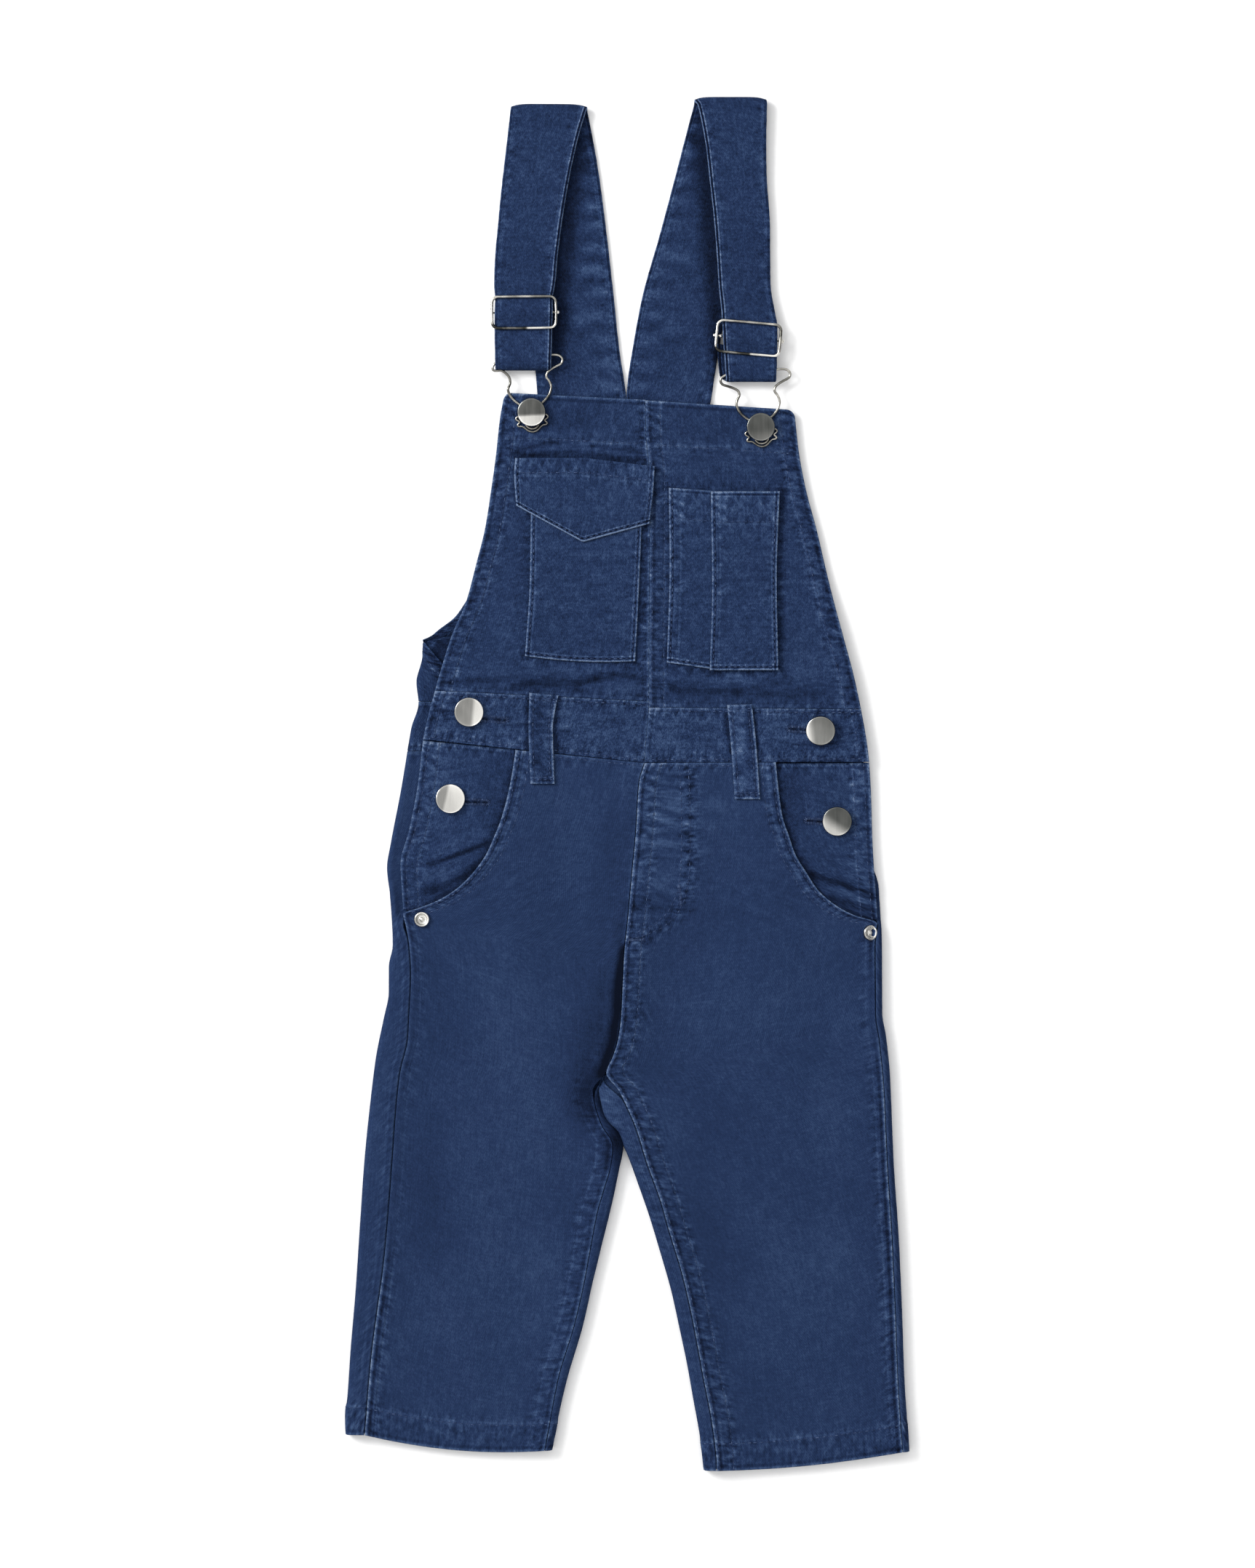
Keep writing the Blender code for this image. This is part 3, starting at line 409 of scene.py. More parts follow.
def off_line(x, y, start, end):
    """How far a point lies from a straight line between two others, and the step of the line."""
    step = Vector((end[0] - start[0], end[1] - start[1]))
    from_start = Vector((x - start[0], y - start[1]))
    t = clamp(from_start.dot(step) / step.length_squared)
    return (from_start - step * t).length, step


def creased(x, y):
    """Height of the folds and creases at a point, and how far their wash pales the cloth or their
    painted shade darkens it.
    """
    height, wash_and_shade = 0.0, 0.0
    for x0, y0, x1, y1, half_width, rise, tone in FOLDS:
        faded = FADED * half_width
        if x < min(x0, x1) - faded or x > max(x0, x1) + faded:
            continue
        if y < min(y0, y1) - faded or y > max(y0, y1) + faded:
            continue
        distance, step = off_line(x, y, (x0, y0), (x1, y1))
        share = math.exp(-((distance / half_width) ** 2))
        height += rise * share
        wash_and_shade += tone * share
    return height, wash_and_shade


def in_spot(x, y, centre_x, centre_y, reach_x, reach_y):
    """How much of a soft oval spot lies at a point: 1 at its centre, fading beyond its reach."""
    return math.exp(-(((x - centre_x) / reach_x) ** 2) - ((y - centre_y) / reach_y) ** 2)


def rumpled(x, y):
    """How far a point lies along and across the wrinkles about it, and how strong they are."""
    found = (x, y, 0.0)
    for *spot, angle, strength in RUMPLES:
        share = strength * in_spot(x, y, *spot)
        if share > found[2]:
            cos, sin = math.cos(math.radians(angle)), math.sin(math.radians(angle))
            found = (x * cos + y * sin, y * cos - x * sin, share)
    return found


def front_top(x, y, layer=0):
    """Upper face of the front at a point; each layer lies one denim and one gap higher."""
    off_middle = abs(x - HIP_MIDDLE) / HIP_HALF_WIDTH
    hip = ease(0.30, 0.60, off_middle) * ease(-120, -80, y) * (1 - ease(78, 112, y))
    swell = SWELL * (1 + noise.noise((x / SWELL_LENGTH, y / SWELL_LENGTH, 3.7)))
    return FRONT_TOP + HIP_LIFT * hip + creased(x, y)[0] + swell + layer * LAYER


def outer_lift(y):
    """How far a leg's side seam stands up at a height y."""
    return SEAM_LIFT * ease(-80, -120, y)


def blend(first, second, share):
    return tuple(a + (b - a) * share for a, b in zip(first, second))


def down(stops, v):
    """The row of a table of stops that lies a share v of the way down it."""
    marks = [0.0]
    for above, below in zip(stops, stops[1:]):
        marks.append(marks[-1] + abs(below[0] - above[0]) + abs(below[1] - above[1]))
    reach = v * marks[-1]
    at = mark_before(marks, reach)
    return blend(stops[at], stops[at + 1], (reach - marks[at]) / (marks[at + 1] - marks[at]))


def ticks(total, step):
    """Shares across a sheet, close together at its edges."""
    close = (0.0, 0.18, 0.45, 0.85, 1.4)
    inner = total - 2 * close[-1]
    count = math.ceil(inner / step)
    marks = [close[-1] + inner * k / count for k in range(1, count)]
    return [m / total for m in (*close, *marks, *(total - c for c in reversed(close)))]


def along(points):
    """Distances from the first point of a line to each of its points."""
    reached = [0.0]
    for a, b in zip(points, points[1:]):
        reached.append(reached[-1] + (b - a).length)
    return reached


def beside(x, y, points):
    """How far a point lies from a line of points, and how upright the line runs there, 0 to 1."""
    best = (math.inf, 1.0)
    for start, end in zip(points, points[1:]):
        distance, step = off_line(x, y, start, end)
        best = min(best, (distance, step.y**2 / step.length_squared))
    return best


def indigo(name, tone=0.0, bloom=1.0, twin=0.0, keen=1.0):
    """Washed indigo denim: a fine twill of dark warp over pale weft, mottled by the wash. Folded
    edges wear pale, with a band of painted shade beside them, and a sewn hem puckers into ridges worn
    pale and hollows darkened with painted shade. twin is how much a second edge shows beside the
    first, where two plies lie on each other, with painted shade in the groove between them; keen
    narrows both."""
    made, face, plug = finish(name, {"Roughness": 0.95, "Specular IOR Level": 0.05})
    flat = face.node("UVMap", {"uv_map": "cloth"})
    look = face.node("Attribute", {"attribute_name": "look"}, output=1)
    rumple = face.node("Attribute", {"attribute_name": "rumple"}, output=1)

    twill = (flat.along((5980.0, 3700.0, 0.0)) + flat.speckle((700, 260, 0)) * 3.5).sine()
    warp = flat.speckle((1700, 70, 0), 3.0)
    weft = flat.speckle((90, 1500, 0))
    fuzz = flat.speckle((1150, 900, 0), 3.0, 0.7)
    grain = flat.speckle((520, 430, 0), 3.0, 0.6)
    mottle = flat.speckle((190, 150, 0), 3.0, 0.55)
    cloud = flat.speckle((26, 20, 0))
    fray = flat.speckle((760, 760, 0), 3.0, 0.7)
    # The wrinkles are a bump, and they are also painted into the colour: paler along their ridges,
    # with painted shade in their hollows.
    wrinkle = rumple.speckle((0.045, 0.27, 0.0)) + rumple.speckle((0.12, 0.6, 0.0)) * 0.35
    wrinkle = wrinkle * rumple.part(2)

    # level is how far the denim is washed out, with painted light and shade added in, and relief how
    # far its face stands up in mm.
    level = 0.49 + twill * 0.03 + warp * 0.18 + weft * 0.10 + cloud * 0.16
    level = level + (fuzz * 0.75 + grain * 0.52 + mottle * 0.36) * bloom + wrinkle * 1.1
    level = level + look.part(0) + tone
    relief = twill * 0.03 + warp * 0.12 + (fuzz * 0.30 + grain * 0.32) * bloom
    relief = relief + mottle * 0.18 + wrinkle * 2.2
    for family, gathers, across_seam, along_seam in (
        ("sides", look.part(1), 170, 340),
        ("ends", look.part(2), 340, 170),
    ):
        edge = face.node("Attribute", {"attribute_name": family}, output=1)
        distance, depth, worn = edge.part(0), edge.part(1), edge.part(2)
        drag = flat.speckle((across_seam, along_seam, 0))
        drag = drag + flat.speckle((2.3 * across_seam, 2.3 * along_seam, 0)) * 0.45
        near = distance * keen
        fold_line = 1 - near.between(0.2, 1.7)
        shade_beside_fold = 1 - abs(near - 2.3).between(0.2, 1.2)
        sewn_line = 1 - abs(distance - depth).between(0.2, 1.0)
        level = level + gathers * (drag * 1.6 + sewn_line * (fray * 1.0 + 0.16))
        level = level + worn * (fold_line * (0.85 + fray * 2.2) - shade_beside_fold * 0.45)
        if twin:
            shade_in_groove = 1 - abs(near - 1.9).between(0.1, 0.6)
            second = 1 - abs(near - 2.9).between(0.1, 0.9)
            level = level + worn * twin * (second * (0.8 + fray * 1.8) - shade_in_groove * 0.6)
        relief = relief + gathers * (drag * 1.5 - sewn_line * 0.25)
    stops = (
        (0.0, (0.0021, 0.0040, 0.0112)),
        (0.25, (0.0057, 0.0115, 0.0325)),
        (0.50, (0.0144, 0.0288, 0.0780)),
        (0.75, (0.0385, 0.0690, 0.1480)),
        (1.0, (0.1300, 0.1820, 0.2900)),
    )
    plug("Base Color", level.clamped().colored(stops))
    plug("Normal", face.node("Bump", None, {"Height": relief, "Strength": 1.0, "Distance": 0.001}))
    return made


body_indigo = indigo("body_indigo", tone=-0.01, bloom=0.82)


class Sheet:
    """A sheet of cloth: its object, the points of its grid, its area and its flat size."""

    def __init__(self, piece, slot, rows, area, size):
        self.piece, self.slot, self.rows, self.area, self.size = piece, slot, rows, area, size
        self.sewn = []

    def inside(self, side, depth, trim=0.0):
        """The line that runs at a depth inside one of the sheet's edges."""
        lines = self.rows if side in ("left", "right") else list(zip(*self.rows))
        found = []
        for line in lines:
            line = list(line) if side in ("left", "top") else list(reversed(line))
            marks = along(line)
            at = next((i for i in range(len(line) - 1) if marks[i + 1] >= depth), len(line) - 2)
            share = (depth - marks[at]) / max(marks[at + 1] - marks[at], 1e-6)
            found.append(line[at].lerp(line[at + 1], share))
        marks = along(found)
        return [p for p, m in zip(found, marks) if trim <= m <= marks[-1] - trim]

    def lay(self, rests_on):
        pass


def cloth(
    slot, point, us, vs, hems, facing=(0, 0, 1), wall=DENIM, folds=(0, -1), lines=(), paint=(),
    tone=0.0, finished=None, tube=False, seams=(), calm=(),
):
    """A sheet of denim over the surface point(u, v), its edges rounded over.

    hems gives a side's hem: how deep it is, how far it stands up, how much it puckers and how pale
    its edge is worn, which also sets the painted shade beside it. lines are seams that run across the
    sheet: each one's points, how far beside it the cloth puckers and how much, and how dark it lies
    over what reach, mostly painted shade, or how pale where the amount is positive. paint is patches
    washed paler or darkened, most of the dark ones painted shade. calm is where the hems lie smooth."""
    rows = [[Vector(point(u, v)) for u in us] for v in vs]
    over = [along(row) for row in rows]
    below = [along([row[i] for row in rows]) for i in range(len(us))]
    bm = bmesh.new()
    bmesh.ops.create_grid(bm, x_segments=len(us) - 1, y_segments=len(vs) - 1, size=0.5)
    cell = bm.verts.layers.int.new("cell")
    for vert in bm.verts:
        column = round((vert.co.x + 0.5) * (len(us) - 1))
        row = round((0.5 - vert.co.y) * (len(vs) - 1))
        vert[cell] = row * len(us) + column
        vert.co = rows[row][column] * MM
    bm.normal_update()
    outward = sum((face.normal * face.calc_area() for face in bm.faces), Vector())
    if not tube and outward.dot(Vector(facing)) < 0:
        bmesh.ops.reverse_faces(bm, faces=bm.faces[:])
        bm.normal_update()
    area = sum(face.calc_area() for face in bm.faces)
    sides = bm.verts.layers.float_vector.new("sides")
    ends = bm.verts.layers.float_vector.new("ends")
    look = bm.verts.layers.float_vector.new("look")
    rumple = bm.verts.layers.float_vector.new("rumple")
    first, last = folds[0] % len(us), folds[1] % len(us)
    lifts = []
    for vert in bm.verts:
        row, column = divmod(vert[cell], len(us))
        x, y, z = rows[row][column]
        run, drop = over[row], below[column]
        borders = {
            "left": run[column], "right": run[-1] - run[column],
            "top": drop[row], "bottom": drop[-1] - drop[row],
        }
        lift = 0.0
        for side, distance in () if tube else borders.items():
            radius = SEAM_ROUND if side in seams else EDGE_ROUND
            if distance < radius:
                lift = min(lift, math.sqrt(radius**2 - (radius - distance) ** 2) - radius)
        borders["left"] = abs(run[column] - run[first])
        borders["right"] = abs(run[last] - run[column])
        if tube:
            borders["right"] = min(borders["right"], run[-1] - borders["right"])
        # A tube's lower length lies on the table. It is less worn, and only it takes the painted
        # spots, most of them painted shade.
        lower = tube and z < 2
        stand, gathers, rough = 0.0, [0.0, 0.0], TUCKED_WEAR if lower else 1.0
        for spot in calm:
            rough *= 1 - in_spot(x, y, *spot)
        nearest = [NO_HEM, NO_HEM]
        for side, (depth, rise, pucker, worn) in hems.items():
            family, distance = int(side in ("top", "bottom")), borders[side]
            stand = max(stand, rise * (1 - ease(depth - HEM_SOFT, depth + HEM_SOFT, distance)))
            drawn_in = pucker * (1 - ease(depth, depth + PUCKER_FADE, distance))
            drawn_in *= 1 if tube else rough
            gathers[family] = max(gathers[family], drawn_in)
            nearest[family] = min(nearest[family], (distance, depth, rough * worn))
        wash_and_shade = creased(x, y)[1] + tone
        for points, reach, pucker, shade, shade_reach in lines:
            distance, upright = beside(x, y, points)
            if distance < FADED * max(reach, shade_reach):
                share = pucker * math.exp(-((distance / reach) ** 2))
                gathers = [max(gathers[0], share * upright), max(gathers[1], share * (1 - upright))]
                wash_and_shade += shade * math.exp(-((distance / shade_reach) ** 2))
        for *spot, amount in () if tube and not lower else paint:
            wash_and_shade += amount * in_spot(x, y, *spot)
        lift += PUCKER_HEIGHT * gathers[0] * noise.noise((x / PUCKER_LONG, y / PUCKER_SHORT, 0.5))
        lift += PUCKER_HEIGHT * gathers[1] * noise.noise((x / PUCKER_SHORT, y / PUCKER_LONG, 4.5))
        vert[sides], vert[ends] = nearest
        vert[look] = (wash_and_shade, *gathers)
        vert[rumple] = rumpled(x, y) if facing[2] > 0 and not tube else (x, y, 0.0)
        lifts.append((vert, (lift + stand) * MM))
    for vert, lift in lifts:
        vert.co += vert.normal * lift
        vert.co.z = max(vert.co.z, 0.0)
    flat = bm.loops.layers.uv.new("cloth")
    for face in bm.faces:
        for loop in face.loops:
            row, column = divmod(loop.vert[cell], len(us))
            measured = len(us) // 5 if tube else column
            loop[flat].uv = (over[row][column] * MM, -below[measured][row] * MM)
    bm.verts.layers.int.remove(cell)
    if tube:
        bmesh.ops.remove_doubles(bm, verts=bm.verts[:], dist=SAME_PLACE)
        bmesh.ops.recalc_face_normals(bm, faces=bm.faces[:])
    piece = put_in_scene(slot + "_cloth", bm, finished or body_indigo)
    thick = piece.modifiers.new("wall", "SOLIDIFY")
    thick.thickness = wall * MM
    thick.offset = -1.0
    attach(piece, "root")
    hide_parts(slot)
    slot + "_denim"
    size = max(run[-1] for run in over) * MM, max(drop[-1] for drop in below) * MM
    return Sheet(piece, slot + "_denim", rows, area, size)


THREAD = 0.48  # how wide a stitch is
THREAD_FLAT = 0.42  # how far it stands up, as a part of its width
thread_indigo, strand, plug = finish(
    "thread_indigo", {"Roughness": 0.85, "Specular IOR Level": 0.15}
)
fleck = strand.node("TexCoord", output=3).speckle((700, 700, 700), 2.0) + 0.5
plug("Base Color", fleck.colored(
    ((0.3, (0.012, 0.022, 0.060)), (0.5, (0.026, 0.046, 0.112)), (0.7, (0.075, 0.112, 0.215)))
))


def sew(name, sheet, runs, pitch=3.1, length=2.3, crosswise=False):
    """Rows of lockstitch on a sheet: small rounded stitches, each sunk at its ends. Crosswise
    they lie side by side across the row, as in a tack or round a buttonhole."""
    mesh = sheet.piece.data
    places = [vert.co for vert in mesh.vertices]
    surface = BVHTree.FromPolygons(places, [face.vertices[:] for face in mesh.polygons])
    bm = bmesh.new()
    for run in runs:
        marks = along(run)
        count = int(marks[-1] / pitch)
        at = 0
        for k in range(count):
            mark = (k + 0.5) * marks[-1] / count
            while marks[at + 1] < mark:
                at += 1
            share = (mark - marks[at]) / (marks[at + 1] - marks[at])
            place, normal, _, _ = surface.find_nearest(run[at].lerp(run[at + 1], share) * MM)
            ahead = (run[at + 1] - run[at]).normalized()
            ahead = (ahead - normal * ahead.dot(normal)).normalized()
            side = normal.cross(ahead)
            if crosswise:
                ahead, side = side, -ahead
            axes = (ahead * length / 2, side * THREAD / 2, normal * THREAD * THREAD_FLAT)
            matrix = Matrix.Translation(place) @ (Matrix(axes).transposed() * MM).to_4x4()
            bmesh.ops.create_uvsphere(bm, u_segments=6, v_segments=4, radius=1.0, matrix=matrix)
    stitches = put_in_scene(name, bm, thread_indigo)
    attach(stitches, "root")
    sheet.sewn.append(stitches)


def shifted(line, dx):
    return tuple((y, x + dx) for y, x in line)


def flat_edge(line):
    """An edge of the back that lies flat and ends on a line."""

    def edge(y):
        x = across(line, y)
        return [(x, 1.0), (x, 1.0)], x, 3.0, 0.0

    return edge


def body_edge(outline, front_edge, underlap, seam, side, radius, low_radius):
    """The back's side: its placket lies loose under the front, and below the side opening it is
    sewn to the front at the side seam."""

    def edge(y):
        roll_x = across(outline, y)
        sewn = ease(-67, -79, y)
        roll = radius + (low_radius - radius) * ease(-40, -62, y)
        end = (across(underlap, y), UNDERLAP_TOP)
        dip = (across(front_edge, y) + side * 1.2, UNDERLAP_TOP + 0.05)
        if (dip[0] - end[0]) * side < 2:
            dip = ((roll_x - side * roll + end[0]) / 2, 2 * roll - 0.1)
            end = (end[0], 2 * roll - 0.3)
        seam_x = across(seam, y)
        top = front_top(seam_x, y) + outer_lift(y)
        sewn_roll = min(top / 2, LEG_ROLL)
        sewn_end = (seam_x + side * GAP, top)
        sewn_dip = blend(sewn_end, (roll_x - side * sewn_roll, 2 * sewn_roll), 0.5)
        flap = [blend(end, sewn_end, sewn), blend(dip, sewn_dip, sewn)]
        return flap, roll_x, roll + (sewn_roll - roll) * sewn, 1 - ease(69, 77, y)

    return edge


ROLLED_SHARE = 0.3  # of a back panel's columns, for each of its rolled edges
LYING_SHARE = 1 - 2 * ROLLED_SHARE
ROLLED = [ROLLED_SHARE * k / 26 for k in range(27)]
LYING = [ROLLED_SHARE + LYING_SHARE * k / 34 for k in range(1, 34)]
BACK_COLUMNS = ROLLED + LYING + [1 - u for u in reversed(ROLLED)]


def back_surface(stops, left, right):
    """A panel of the back: flat on the table, and rolled up over its edges."""
    cells = 10

    def profile(v):
        y_left, y_right, sag = down(stops, v)
        halves = []
        for edge, y, inward in ((left, y_left, 1), (right, y_right, -1)):
            flap, roll_x, radius, rolled = edge(y)
            centre = roll_x + inward * radius
            up = list(flap)
            for k in range(cells + 1):
                a = math.pi * (0.5 + k / cells)
                up.append((centre + inward * radius * math.cos(a), radius + radius * math.sin(a)))
            reach = abs(flap[0][0] - centre) + math.pi * radius
            flat = [(roll_x + inward * reach * k / (len(up) - 1), 0.0) for k in range(len(up))]
            half = [blend(lying, turned_up, rolled) for lying, turned_up in zip(flat, up)]
            drawn_in = min((x - roll_x) * inward for x, z in half)
            halves.append([Vector((x - inward * drawn_in, z)) for x, z in half])
        return [(half, along(half)) for half in halves], (y_left, y_right, sag)

    kept = {}

    def point(u, v):
        if v not in kept:
            kept.clear()
            kept[v] = profile(v)
        ((lefts, left_marks), (rights, right_marks)), (y_left, y_right, sag) = kept[v]
        if ROLLED_SHARE < u < 1 - ROLLED_SHARE:
            x, z = lefts[-1].lerp(rights[-1], (u - ROLLED_SHARE) / LYING_SHARE)
        else:
            line, marks = (lefts, left_marks) if u <= ROLLED_SHARE else (rights, right_marks)
            reach = min(u, 1 - u) / ROLLED_SHARE * marks[-1]
            at = mark_before(marks, reach)
            share = (reach - marks[at]) / max(marks[at + 1] - marks[at], 1e-6)
            x, z = line[at].lerp(line[at + 1], min(share, 1.0))
        t = clamp((x - lefts[0].x) / (rights[0].x - lefts[0].x))
        return x, y_left + (y_right - y_left) * t - sag * 4 * t * (1 - t), z

    return point


side_l = body_edge(OUTLINE_L, FRONT_EDGE_L, UNDERLAP_L, SIDE_SEAM_L, -1, 1.8, 2.2)
side_r = body_edge(OUTLINE_R, FRONT_EDGE_R, UNDERLAP_R, SIDE_SEAM_R, 1, 1.15, 1.15)
ARMHOLE_L = (
    (190, -44.5), (160, -50), (130, -61), (105, -75), (92, -83), (85, -88), (78, -97),
    (73, -102.5),
)
ARMHOLE_R = ((190, 41.5), (160, 49), (130, 62), (105, 80), (85, 96), (78, 102), (73, 105.5))
ARMHOLE_FOOT = 75  # the height at which an armhole runs into the side opening


def armhole_edge(armhole, lower):
    return lambda y: flat_edge(armhole)(y) if y > ARMHOLE_FOOT else lower(y)


DOWN = (0, 0, -1)
ARMHOLE_HEM = (7.5, 0.25, 0.8, 0.22)
bib_sides = armhole_edge(ARMHOLE_L, side_l), armhole_edge(ARMHOLE_R, side_r)
# The spot painted on the back bib is shade in the left armhole.
back_bib = cloth(
    "back_bib", back_surface(((189.5, 189.5, 0), (42.05, 42.05, 0)), *bib_sides),
    BACK_COLUMNS, ticks(147, 2.0),
    {"left": ARMHOLE_HEM, "right": ARMHOLE_HEM, "top": (3, 0, 0.4, 0.1)},
    facing=DOWN, paint=((-94, 70, 5, 12, -0.30),),
)
armhole_seams = [back_bib.inside("left", 6.5), back_bib.inside("right", 6.5)]
sew("back_bib_hem_stitching", back_bib, armhole_seams)
back_bib.lay(["floor"])
back_waistband = cloth(
    "back_waistband", back_surface(((42, 42, 0), (16.8, 16.8, 0)), side_l, side_r),
    BACK_COLUMNS, ticks(25, 1.6),
    {"top": (1.6, 0, 0.8, 0.22), "bottom": (1.6, 0, 0.8, 0.15)}, facing=DOWN,
)
back_waistband.lay(["floor"])

# ------------------------------------------------------------------ back legs
# Each back leg and its half of the seat is one panel. It lies under the front leg, turns up over
# the leg's outer edge, and below the crotch up to the inseam as well, where the front is felled on.

FLY = (
    (10.3, 8.5), (1, 5.8), (-26, 4), (-45, 2.2), (-69, 0), (-86, -1.8), (-119, -3.5),
    (-130, -5), (-139, -7.8), (-147, -11),
)
INSEAM_L = (
    (-147, -11), (-156, -17.6), (-163, -16.7), (-173, -13.4), (-184, -7.6), (-193, -8.4),
    (-206, -12), (-217, -15.2), (-235, -18.7), (-254, -22.2), (-274, -26.8),
    (-302, -35.2), (-326, -39.8), (-339, -42.2),
)
INSEAM_R = (
    (-147, -11), (-156, -4.5), (-165, 0), (-174, 4), (-193, 10), (-211, 16.5), (-230, 22),
    (-248, 27.5), (-267, 32), (-285, 35.5), (-304, 39), (-322, 42.5), (-341, 45), (-349.5, 45.5),
)
CROTCH_L = (
    (-150, -12.3), (-156, -14.6), (-163, -13.4), (-169, -11.6), (-173, -8.8), (-177, -4.6),
    (-184, -2.0), (-196, -4.2), (-204, -5.8), (-212, -7.5), (-220, -9.4), (-228, -11.4),
    (-236, -13.4), (-244, -15.3), (-252, -17.3), (-268, -20.8), (-276, -22.7), (-284, -25),
    (-292, -27.5), (-300, -29.9), (-316, -33.8), (-326, -35.9), (-339, -38.5),
)
CROTCH_R = (
    (-150, -12.5), (-156, -14.8), (-163, -13.6), (-169, -11.8), (-173, -9.0), (-177, -4.8),
    (-184, -2.1), (-191, 0.8), (-204, 5.5), (-221, 11.4), (-239, 16.8), (-258, 22.2),
    (-276, 26.2), (-295, 30.2), (-313, 33.4), (-332, 36.8), (-349, 39),
)
# Rows that the front and the back of a leg share: y at the outer side, y at the inner side, sag.
LEG_ROWS_L = (
    (-66.2, -95, 0), (-73, -107, 0), (-85, -119, 0), (-98, -130, 0), (-112, -139, 0),
    (-124, -147, 0), (-135, -155.5, 0), (-145, -163, 0), (-155, -173, 0), (-168, -184, 0),
    (-181, -194, 0), (-196, -208, 0), (-215, -226, 0), (-240, -250, 0), (-268, -277, 0),
    (-300, -307, 1), (-331, -339, 3.8),
)
LEG_ROWS_R = (
    (-70.5, -95, 0), (-76, -107, 0), (-86, -119, 0), (-98, -130, 0), (-112, -139, 0),
    (-124, -147, 0), (-135, -155.5, 0), (-145, -164, 0), (-155, -173, 0), (-168, -184, 0),
    (-183, -195, 0), (-200, -209, 0), (-220, -228, 0), (-246, -254, 0), (-275, -284, 0),
    (-306, -315, 0.8), (-339.7, -349.2, 2.2),
)
SEAT = ((16.75, 16.75, 0), (0, 0, 0), (-20, -22, 0), (-38, -45, 0), (-52, -65, 0), (-61, -80, 0))
LEG_HEM = 15.0
SEAM_CLOSED = 0.06  # how far each half of the seat reaches over the centre seam, so no light shows


def inner_lift(y):
    """How far a leg's inseam stands up at a height y."""
    return SEAM_LIFT * ease(-150, -176, y)


def crotch_edge(outline, seam, side):
    """The back's inner edge: flat to the centre back seam, and rolled up below the crotch."""

    def edge(y):
        roll_x, seam_x = across(outline, y), across(seam, y)
        top = front_top(seam_x, y) + inner_lift(y)
        roll = min(top / 2, LEG_ROLL)
        end = (seam_x + side * GAP, top)
        flap = [end, blend(end, (roll_x - side * roll, 2 * roll), 0.5)]
        return flap, roll_x, roll, ease(-138, -162, y)

    return edge


leg_indigo = indigo("leg_indigo", bloom=0.44)
crotch_l = crotch_edge(shifted(FLY, SEAM_CLOSED) + CROTCH_L, FLY + INSEAM_L[1:], 1)
crotch_r = crotch_edge(shifted(FLY, -SEAM_CLOSED) + CROTCH_R, FLY + INSEAM_R[1:], -1)
from_inside = tuple((inner, outer, sag) for outer, inner, sag in SEAT + LEG_ROWS_R)
# Where the right inseam's puckers end on the rolled edge.
ROLLED_SEAM_R = (
    (-12.5, -155), (-9.5, -163), (-5, -171), (1, -180), (5, -190), (12, -210), (20, -236),
)
# shaded gives spots of painted shade on the rolled edges at the crotch, where one leg lies under the
# other, and a paler spot on the right leg's roll.
for slot, surface, seam_side, open_side, lines, shaded in (
    (
        "back_leg_l", back_surface(SEAT + LEG_ROWS_L, side_l, crotch_l), "right", "left", (),
        ((-15, -160, 4, 14, -0.30), (-5.5, -181, 5, 11, -0.46)),
    ),
    (
        "back_leg_r", back_surface(from_inside, crotch_r, side_r), "left", "right",
        ((ROLLED_SEAM_R, 4.5, 0.42, 0.0, 1.0),),
        ((-8, -150, 6, 4, -0.12), (-10, -160, 5, 9, 0.11)),
    ),
):
    hems = {
        seam_side: (3.0, 0.1, 0.15, 0.06), open_side: (4.0, 0.1, 0.25, 0.10),
        "top": (1.6, 0, 0.5, 0.1), "bottom": (LEG_HEM, 0.3, 0.55, 0.2),
    }
    back_leg = cloth(
        slot, surface, BACK_COLUMNS, ticks(358, 2.2), hems, facing=DOWN, finished=leg_indigo,
        tone=0.02, paint=shaded, lines=lines, seams=("top", seam_side),
    )
    sew(slot + "_hem_stitching", back_leg, [back_leg.inside("bottom", LEG_HEM - 1)])
    back_leg.lay(["floor"])

# ------------------------------------------------------------------ hip facings
# Denim facings behind the slanted mouths of the front pockets. They show between the mouth and
# the side, shaded, creased, and buttoned onto the back's plackets.

FACING_L = ((17, -44), (-17, -50), (-36, -59), (-50, -70), (-60, -84), (-72, -100))
FACING_R = ((11, 63), (-17, 66), (-36, 72), (-52, 83), (-64, 96), (-78, 112))
SEAM_STEEP = 4  # how sharply a panel rises to the seam at its edge


def front_surface(
    left, right, stops, layer=0, lift_left=None, lift_right=None, pointed=False, corners=()
):
    """A panel of the front between two lines. The lifts give how far its edges stand up at a
    row's y. A row that sags does so in a bow, or to a point. corners rounds off a top
    corner: which side it is on, 0 or 1, and its radius."""
    kept = {}

    def point(u, v):
        if v not in kept:
            y0, y1, sag = down(stops, v)
            kept.clear()
            kept[v] = across(left, y0), y0, across(right, y1), y1, sag
        x0, y0, x1, y1, sag = kept[v]
        x = x0 + (x1 - x0) * u
        bow = 1 - abs(2 * u - 1) if pointed else 4 * u * (1 - u)
        y = y0 + (y1 - y0) * u - sag * bow
        for side, radius in corners:
            from_side = abs(u - side) * (x1 - x0) / radius
            from_top = (stops[0][side] - y) / radius
            if from_side < 1 and from_top < 1:
                a, b = 1 - from_side, 1 - from_top
                x += radius * (a - a * math.sqrt(1 - b * b / 2)) * (1 - 2 * side)
                y -= radius * (b - b * math.sqrt(1 - a * a / 2))
        z = front_top(x, y, layer)
        z += lift_left(y0) * (1 - u) ** SEAM_STEEP if lift_left else 0.0
        z += lift_right(y1) * u**SEAM_STEEP if lift_right else 0.0
        return x, y, z

    return point


